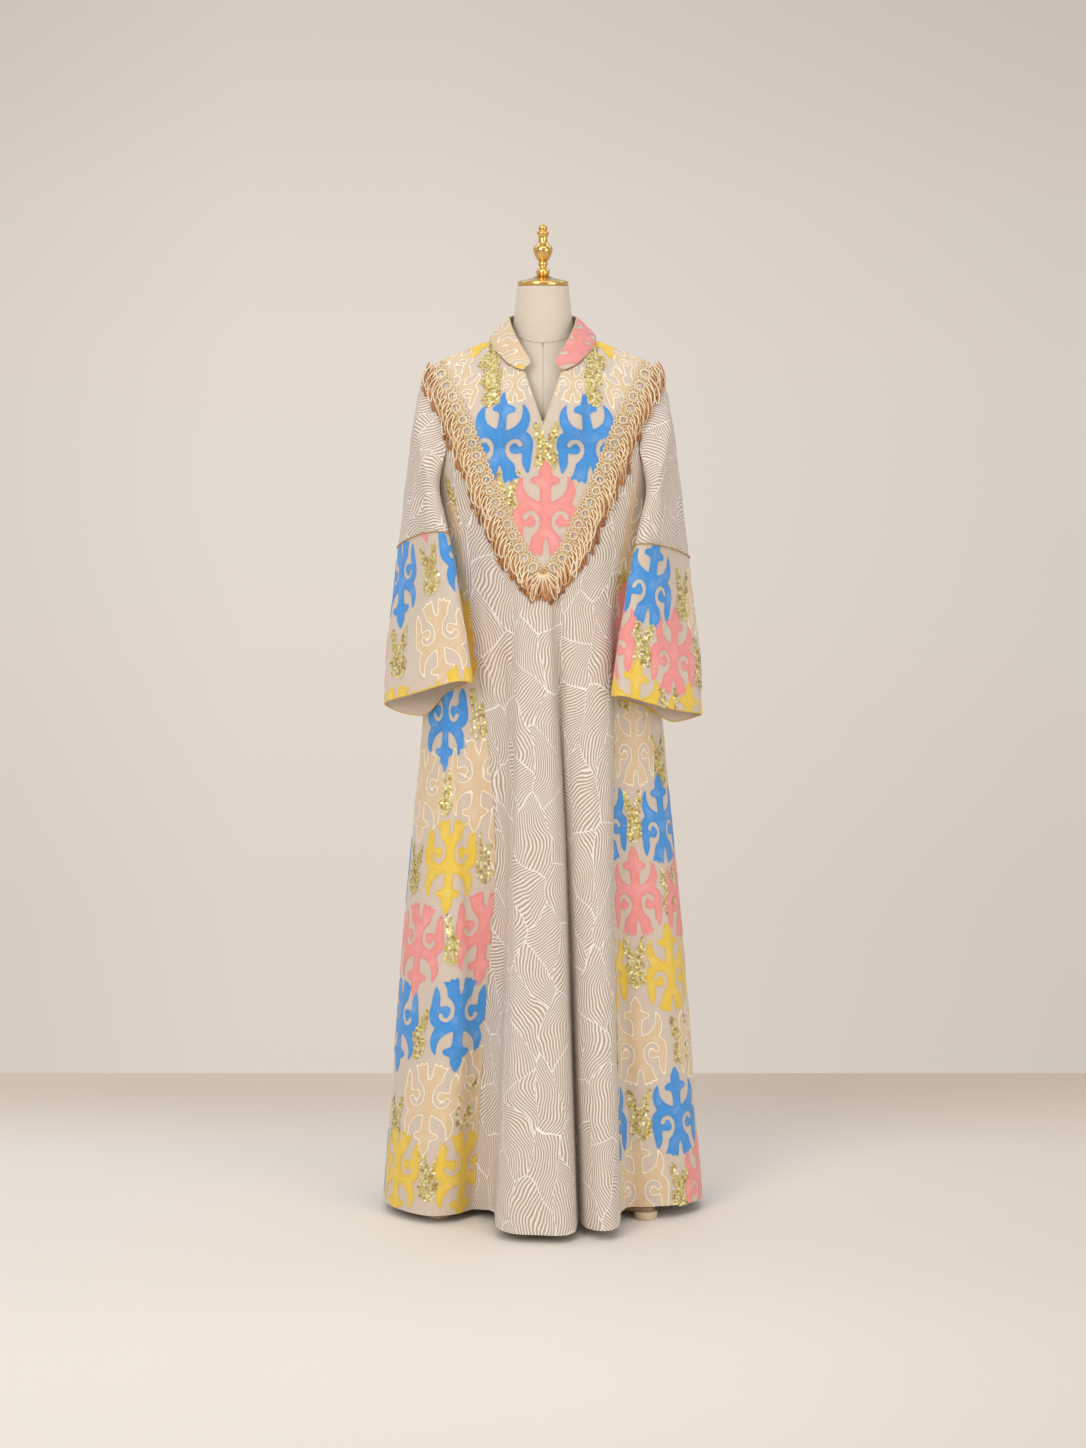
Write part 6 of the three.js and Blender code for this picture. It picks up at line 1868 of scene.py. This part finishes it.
# neck slit: a narrow turned edge down one side and up the other
line = []
for q in np.concatenate([np.linspace(1, 0, 22), np.linspace(0, 1, 22)[1:]]):
    sgn = -1 if len(line) < 22 else 1
    z = SLIT['foot'] - 0.6 + q * (1429.0 - SLIT['foot'])
    x = sgn * (0.2 + q * (SLIT['topHalf'] + 0.2))
    hit = on_front(x * 1.02, z)
    if hit is not None:
        line.append(hit[0] - np.array([0, -0.5, 0]) * -1)
b = Bundle()
b.tube(line, 1.0, srgb(226, 204, 168), sides=6)
ride(b.object("slit_edge", MAT['piping']), "ornament_cloth")

# collar: a fine cord round its free edge
top = COLLAR_S.p[-1]
left_edge = COLLAR_S.p[:, -1]
right_edge = COLLAR_S.p[:, 0]
loop = np.concatenate([right_edge, top[1:-1], left_edge[::-1]])
b = Bundle()
b.tube(loop, 1.25, srgb(214, 188, 146), sides=6)
base = COLLAR_S.p[0] + COLLAR_S.n[0] * 0.9
b.tube(base, 0.7, srgb(196, 170, 134), sides=5)
ride(b.object("collar_edge", MAT['piping']), "ornament_cloth")

# seams where the front and side panels meet: a sunk line of stitches; and round each armhole, over the shoulders, a
# dark cord that paints the shadow line between sleeve and body
b = Bundle()
for s_, col_ in ((FRONT, 0), (FRONT, -1), (BACK, 0), (BACK, -1)):
    rows_n = int(round(1284 / PITCH)) + 1
    line = s_.p[:rows_n, col_] - s_.n[:rows_n, col_] * 0.35
    b.tube(line[::2], 0.45, srgb(188, 168, 146), sides=4)
# painted shadow: a dark brown cord round each armhole stands for the shade where the sleeve meets the body
for _name in ('left', 'right'):
    up, _ = SLEEVES[_name]
    b.tube(up.p[-1] + up.n[-1] * 0.5, 0.95, srgb(142, 118, 96), sides=5, closed=True)
ride(b.object("seam_stitches_and_armhole_shadow", MAT['piping']), "leaf_cloth")


def hang(obj, node):
    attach(obj, "root")
    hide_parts(node)


hang(front_obj, 'front_panel')
hang(back_obj, 'back_panel')
hang(right_obj, 'side_panel_right')
hang(left_obj, 'side_panel_left')
hang(yoke_obj, 'yoke')
hang(collar_obj, 'collar')
for _name in ('left', 'right'):
    hang(SLEEVE_OBJ['upper', _name], f'sleeve_upper_{_name}')
    hang(SLEEVE_OBJ['cuff', _name], f'sleeve_cuff_{_name}')


# ---------------------------------------------------------------- the form and the stand
def form_rows():
    zs = np.concatenate([np.arange(800, 1300, 12.0), np.arange(1300, 1566.01, 3.5), [1566.0]])
    out = []
    for z in zs:
        out.append((z, *(float(hermite([r['z'] for r in FORM], [r[k] for r in FORM], z)) for k in ('halfWidth', 'front', 'back', 'cy'))))
    return out


def loft_rings(rings, name, material, slot_name, nodes, flat=False):
    m = len(rings[0])
    pts = np.concatenate(rings)
    faces = []
    for r in range(len(rings) - 1):
        for c in range(m):
            d = (c + 1) % m
            faces.append((r * m + c, r * m + d, (r + 1) * m + d, (r + 1) * m + c))
    faces.append(tuple(range(m))[::-1])
    faces.append(tuple((len(rings) - 1) * m + c for c in range(m)))
    obj = sharp_rims(build(name, pts, faces, material, flat=flat), 55)
    return ride(obj, slot_name, *nodes)


ANG = np.arange(96) * 2 * np.pi / 96
rings = []
for z, hw, fr, bk, cy in form_rows():
    depth = np.where(np.sin(ANG) < 0, fr, bk)
    rings.append(np.column_stack([hw * np.cos(ANG), cy + depth * np.sin(ANG), np.full(96, z)]))
loft_rings(rings, "form_body", MAT['linen'], "form_linen", ["form_torso"])


def form_point(x, z):
    g = {k: float(hermite([r['z'] for r in FORM], [r[k] for r in FORM], z)) for k in ('halfWidth', 'front', 'cy')}
    return np.array([x, g['cy'] - g['front'] * math.sqrt(max(0, 1 - (x / g['halfWidth']) ** 2)), z])


b = Bundle()
line = []
for a in np.linspace(-70, 70, 41):          # the seam that joins neck and chest dips in front
    x = 47.0 * math.sin(math.radians(a))
    z = 1472.0 + 9.5 * (x / 43.0) ** 2
    line.append(form_point(x, z) + np.array([0, -0.1, 0]))
b.tube(line, 0.45, srgb(176, 152, 124), sides=5)
b.tube([form_point(0, z) + np.array([0, -0.05, 0]) for z in np.linspace(1471, 1330, 40)], 0.4, srgb(186, 163, 136), sides=5)
b.tube([form_point(0, z) + np.array([0, -0.4, 0]) for z in np.linspace(1473, 1466, 6)], 0.9, srgb(120, 92, 66), sides=6)
ride(b.object("form_seams", MAT['seam']), "form_linen")


def lathe(profile, name, material, slot_name, nodes, sides=64, centre=(0, 0)):
    rings_ = []
    a = np.arange(sides) * 2 * np.pi / sides
    for r, z in profile:
        r = max(r, 0.02)
        rings_.append(np.column_stack([centre[0] + r * np.cos(a), centre[1] + r * np.sin(a), np.full(sides, z)]))
    return loft_rings(rings_, name, material, slot_name, nodes)


def rounded_profile(points, k=5):
    p = np.array(points, float)
    q = np.concatenate([p[:1], p, p[-1:]])
    out = []
    for i in range(len(p) - 1):
        a, b_, c, d = q[i:i + 4]
        for j in range(k):
            t = j / k
            v = 0.5 * (2 * b_ + (c - a) * t + (2 * a - 5 * b_ + 4 * c - d) * t * t + (3 * b_ - a - 3 * c + d) * t ** 3)
            out.append((max(0.02, v[0]), v[1]))
    out.append(tuple(p[-1]))
    return out


fin = [(0.02, CAP['dome'] + 0.3), (15, CAP['dome'] + 0.3)] + [(r['r'], r['z']) for r in FINIAL]
fin = fin[:2] + rounded_profile(fin[1:] + [(3.2, FINIAL_TOP - 0.5), (0.3, FINIAL_TOP)])
lathe(fin, "finial_turned", MAT['gold'], "gold_metal", ["form_finial"])
c = CAP
cap = [(0.02, c['z0']), (c['radius'] - 1.5, c['z0']), (c['radius'] - 0.4, c['z0'] + 0.4), (c['radius'], c['z0'] + 1.5), (c['radius'] + 0.2, c['z0'] + 4),
       (c['radius'], c['z1'] - 2), (c['radius'] - 0.8, c['z1'] - 0.6), (c['radius'] - 2, c['z1']), (c['radius'] * 0.86, c['z1'] + 1.2), (c['radius'] * 0.72, c['z1'] + 2.6),
       (c['radius'] * 0.56, c['z1'] + 4.2), (c['radius'] * 0.4, c['dome'] - 1.4), (15.5, c['dome'] - 0.2), (13, c['dome']), (0.02, c['dome'])]
lathe(cap, "cap_plate", MAT['gold'], "gold_metal", ["form_cap"], sides=96)

for foot in ('right', 'rear', 'left'):
    low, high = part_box(f"stand_foot_{foot}")
    cx, cy = (low[0] + high[0]) / 2 / MM, (low[1] + high[1]) / 2 / MM
    r = (high[0] - low[0]) / 2 / MM
    h = high[2] / MM
    lathe([(0.02, 0.0), (r - 2.0, 0.0), (r - 0.6, 0.6), (r - 0.3, 2.0), (r, h - 3.5), (r - 0.5, h - 1.4), (r - 2.2, h - 0.2), (r - 5, h), (0.02, h)],
          f"foot_{foot}", MAT['foot'], "stand_foot", [f"stand_foot_{foot}"], sides=56, centre=(cx, cy))
for node in ("stand_pole", "stand_hub", "stand_leg_right", "stand_leg_rear", "stand_leg_left"):
    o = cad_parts[node]
    if len(o.material_slots):
        o.material_slots[0].material = MAT['stand']
    else:
        o.data.materials.append(MAT['stand'])

# ---------------------------------------------------------------- the studio
def stage_plane(name, corners, material):
    mesh = bpy.data.meshes.new(name)
    mesh.from_pydata(corners, [], [(0, 1, 2, 3)])
    obj = bpy.data.objects.new(name, mesh)
    bpy.context.scene.collection.objects.link(obj)
    mesh.materials.append(material)
    return obj


def stage_material(name, colour, rough, low=None, fade=None):
    m = Nodes(name)
    at = m.where()
    soft = m.noise(at, 1.3, 2.0)
    fine = m.noise(at, 160.0, 3.0)
    c_ = m.mix(m.math('MULTIPLY', soft, 0.5), colour, low or colour)
    # fade paints shade: the colour dims along one axis, as the light's falloff would
    if fade:
        axis, start, end, dim = fade
        c_ = m.mix(1.0, c_, m.ramp(m.split(at)[axis], start, end, 1.0, dim), 'MULTIPLY')
    return m.finish(c_, rough, m.bump(fine, 0.0004, 0.2), Specular_IOR_Level=0.25)


WALL_Y = 1.043


def floor_material():
    """A pale floor with painted shade that darkens and warms it towards its far edge, where it meets the backdrop; it
    is also darker towards +x and towards the near end.
    """
    m = Nodes("studio_floor")
    at = m.where()
    y = m.split(at)[1]
    soft = m.noise(at, 1.3, 2.0)
    fine = m.noise(at, 160.0, 3.0)
    c_ = m.mix(m.math('MULTIPLY', soft, 0.5), FLOOR_PALE, srgb(237, 225, 210))
    # painted shade: the far band darkens towards the backdrop's edge
    c_ = m.mix(m.ramp(y, 0.3, 1.0, 0.0, 1.0), c_, FLOOR_FAR_PAINTED_SHADE)
    c_ = m.mix(1.0, c_, m.mix(m.ramp(m.split(at)[0], 0.0, 1.0, 0.0, 1.0), (1.0, 1.0, 1.0), (0.92, 0.89, 0.86)), 'MULTIPLY')
    c_ = m.mix(1.0, c_, m.ramp(y, -0.6, -2.0, 1.0, 0.82), 'MULTIPLY')
    return m.finish(c_, 0.55, m.bump(fine, 0.0004, 0.2), Specular_IOR_Level=0.25)


FLOOR_PALE = srgb(241, 230, 216)
FLOOR_FAR_PAINTED_SHADE = srgb(224, 205, 184)
floor = stage_plane("floor", [(-9, -9, 0), (9, -9, 0), (9, WALL_Y, 0), (-9, WALL_Y, 0)], floor_material())


def area_light(name, place, aim, size, power, colour=(1, 1, 1)):
    light = bpy.data.lights.new(name, 'AREA')
    light.shape = 'RECTANGLE'
    light.size, light.size_y = size
    light.energy = power
    light.color = colour
    obj = bpy.data.objects.new(name, light)
    obj.location = place
    obj.rotation_euler = (Vector(aim) - Vector(place)).to_track_quat('-Z', 'Y').to_euler()
    bpy.context.scene.collection.objects.link(obj)
    return obj


area_light("key", (-2.0, -3.6, 2.6), (0, 0, 0.8), (1.8, 2.2), 70, (1.0, 0.995, 0.985))
area_light("fill", (2.8, -3.2, 1.4), (0, 0, 0.7), (2.2, 2.4), 40, (1.0, 0.995, 0.99))
area_light("back", (0.0, 0.8, 2.9), (0, 0.7, 0.0), (6.0, 0.6), 18, (1.0, 0.995, 0.985))
area_light("top", (0.0, -1.6, 3.6), (0, -0.4, 0.0), (3.0, 2.0), 24, (1.0, 0.995, 0.985))


def studio_air():
    """Plain soft surroundings: (height of the direction, colour), brightest just under the horizon."""
    stops = [(-0.2126, (221, 211, 201)), (-0.165, (223, 212, 202)), (-0.135, (225, 214, 203)), (-0.09, (227, 217, 207)), (-0.0436, (228, 219, 209)),
             (0.002, (228, 218, 209)), (0.045, (224, 214, 204)), (0.075, (219, 208, 198)), (0.1056, (214, 203, 193)), (0.2, (206, 202, 198)), (0.349, (200, 204, 210))]
    out = bpy.data.worlds.new("studio_air")
    out.use_nodes = True
    t = out.node_tree
    place = t.nodes.new("ShaderNodeTexCoord")
    part = t.nodes.new("ShaderNodeSeparateXYZ")
    t.links.new(place.outputs["Generated"], part.inputs[0])

    def span(value, low, high, a, b):
        n = t.nodes.new("ShaderNodeMapRange")
        t.links.new(value, n.inputs[0])
        for i, v in enumerate((low, high, a, b)):
            n.inputs[i + 1].default_value = v
        return n.outputs[0]

    height = span(part.outputs[2], -0.25, 0.35, 0.0, 1.0)
    ramp = t.nodes.new("ShaderNodeValToRGB")
    e = ramp.color_ramp.elements
    while len(e) < len(stops):
        e.new(0.5)
    for k, (z, c_) in enumerate(stops):
        e[k].position = (z + 0.25) / 0.6
    for k, (z, c_) in enumerate(stops):
        e[k].color = (*srgb(*c_)[:3], 1)
    t.links.new(height, ramp.inputs[0])
    dim = t.nodes.new("ShaderNodeMath")
    dim.operation = 'MULTIPLY'
    t.links.new(span(part.outputs[0], -0.03, 0.155, 1.0, 0.87), dim.inputs[0])
    t.links.new(span(part.outputs[0], -0.16, -0.09, 0.92, 1.0), dim.inputs[1])
    t.links.new(ramp.outputs[0], t.nodes["Background"].inputs[0])
    t.links.new(dim.outputs[0], t.nodes["Background"].inputs[1])
    return out


world = studio_air()
bpy.context.scene.world = world

cam = bpy.data.cameras.new("camera")
cam.sensor_width = 36
cam.lens = 81.4
cam.clip_end = 60
camera = bpy.data.objects.new("camera", cam)
camera.location = (0, -5.5, 1.45)
camera.rotation_euler = (math.radians(90 - 6.41), 0, 0)
bpy.context.scene.collection.objects.link(camera)
bpy.context.scene.camera = camera
bpy.context.scene.view_settings.view_transform = 'Standard'
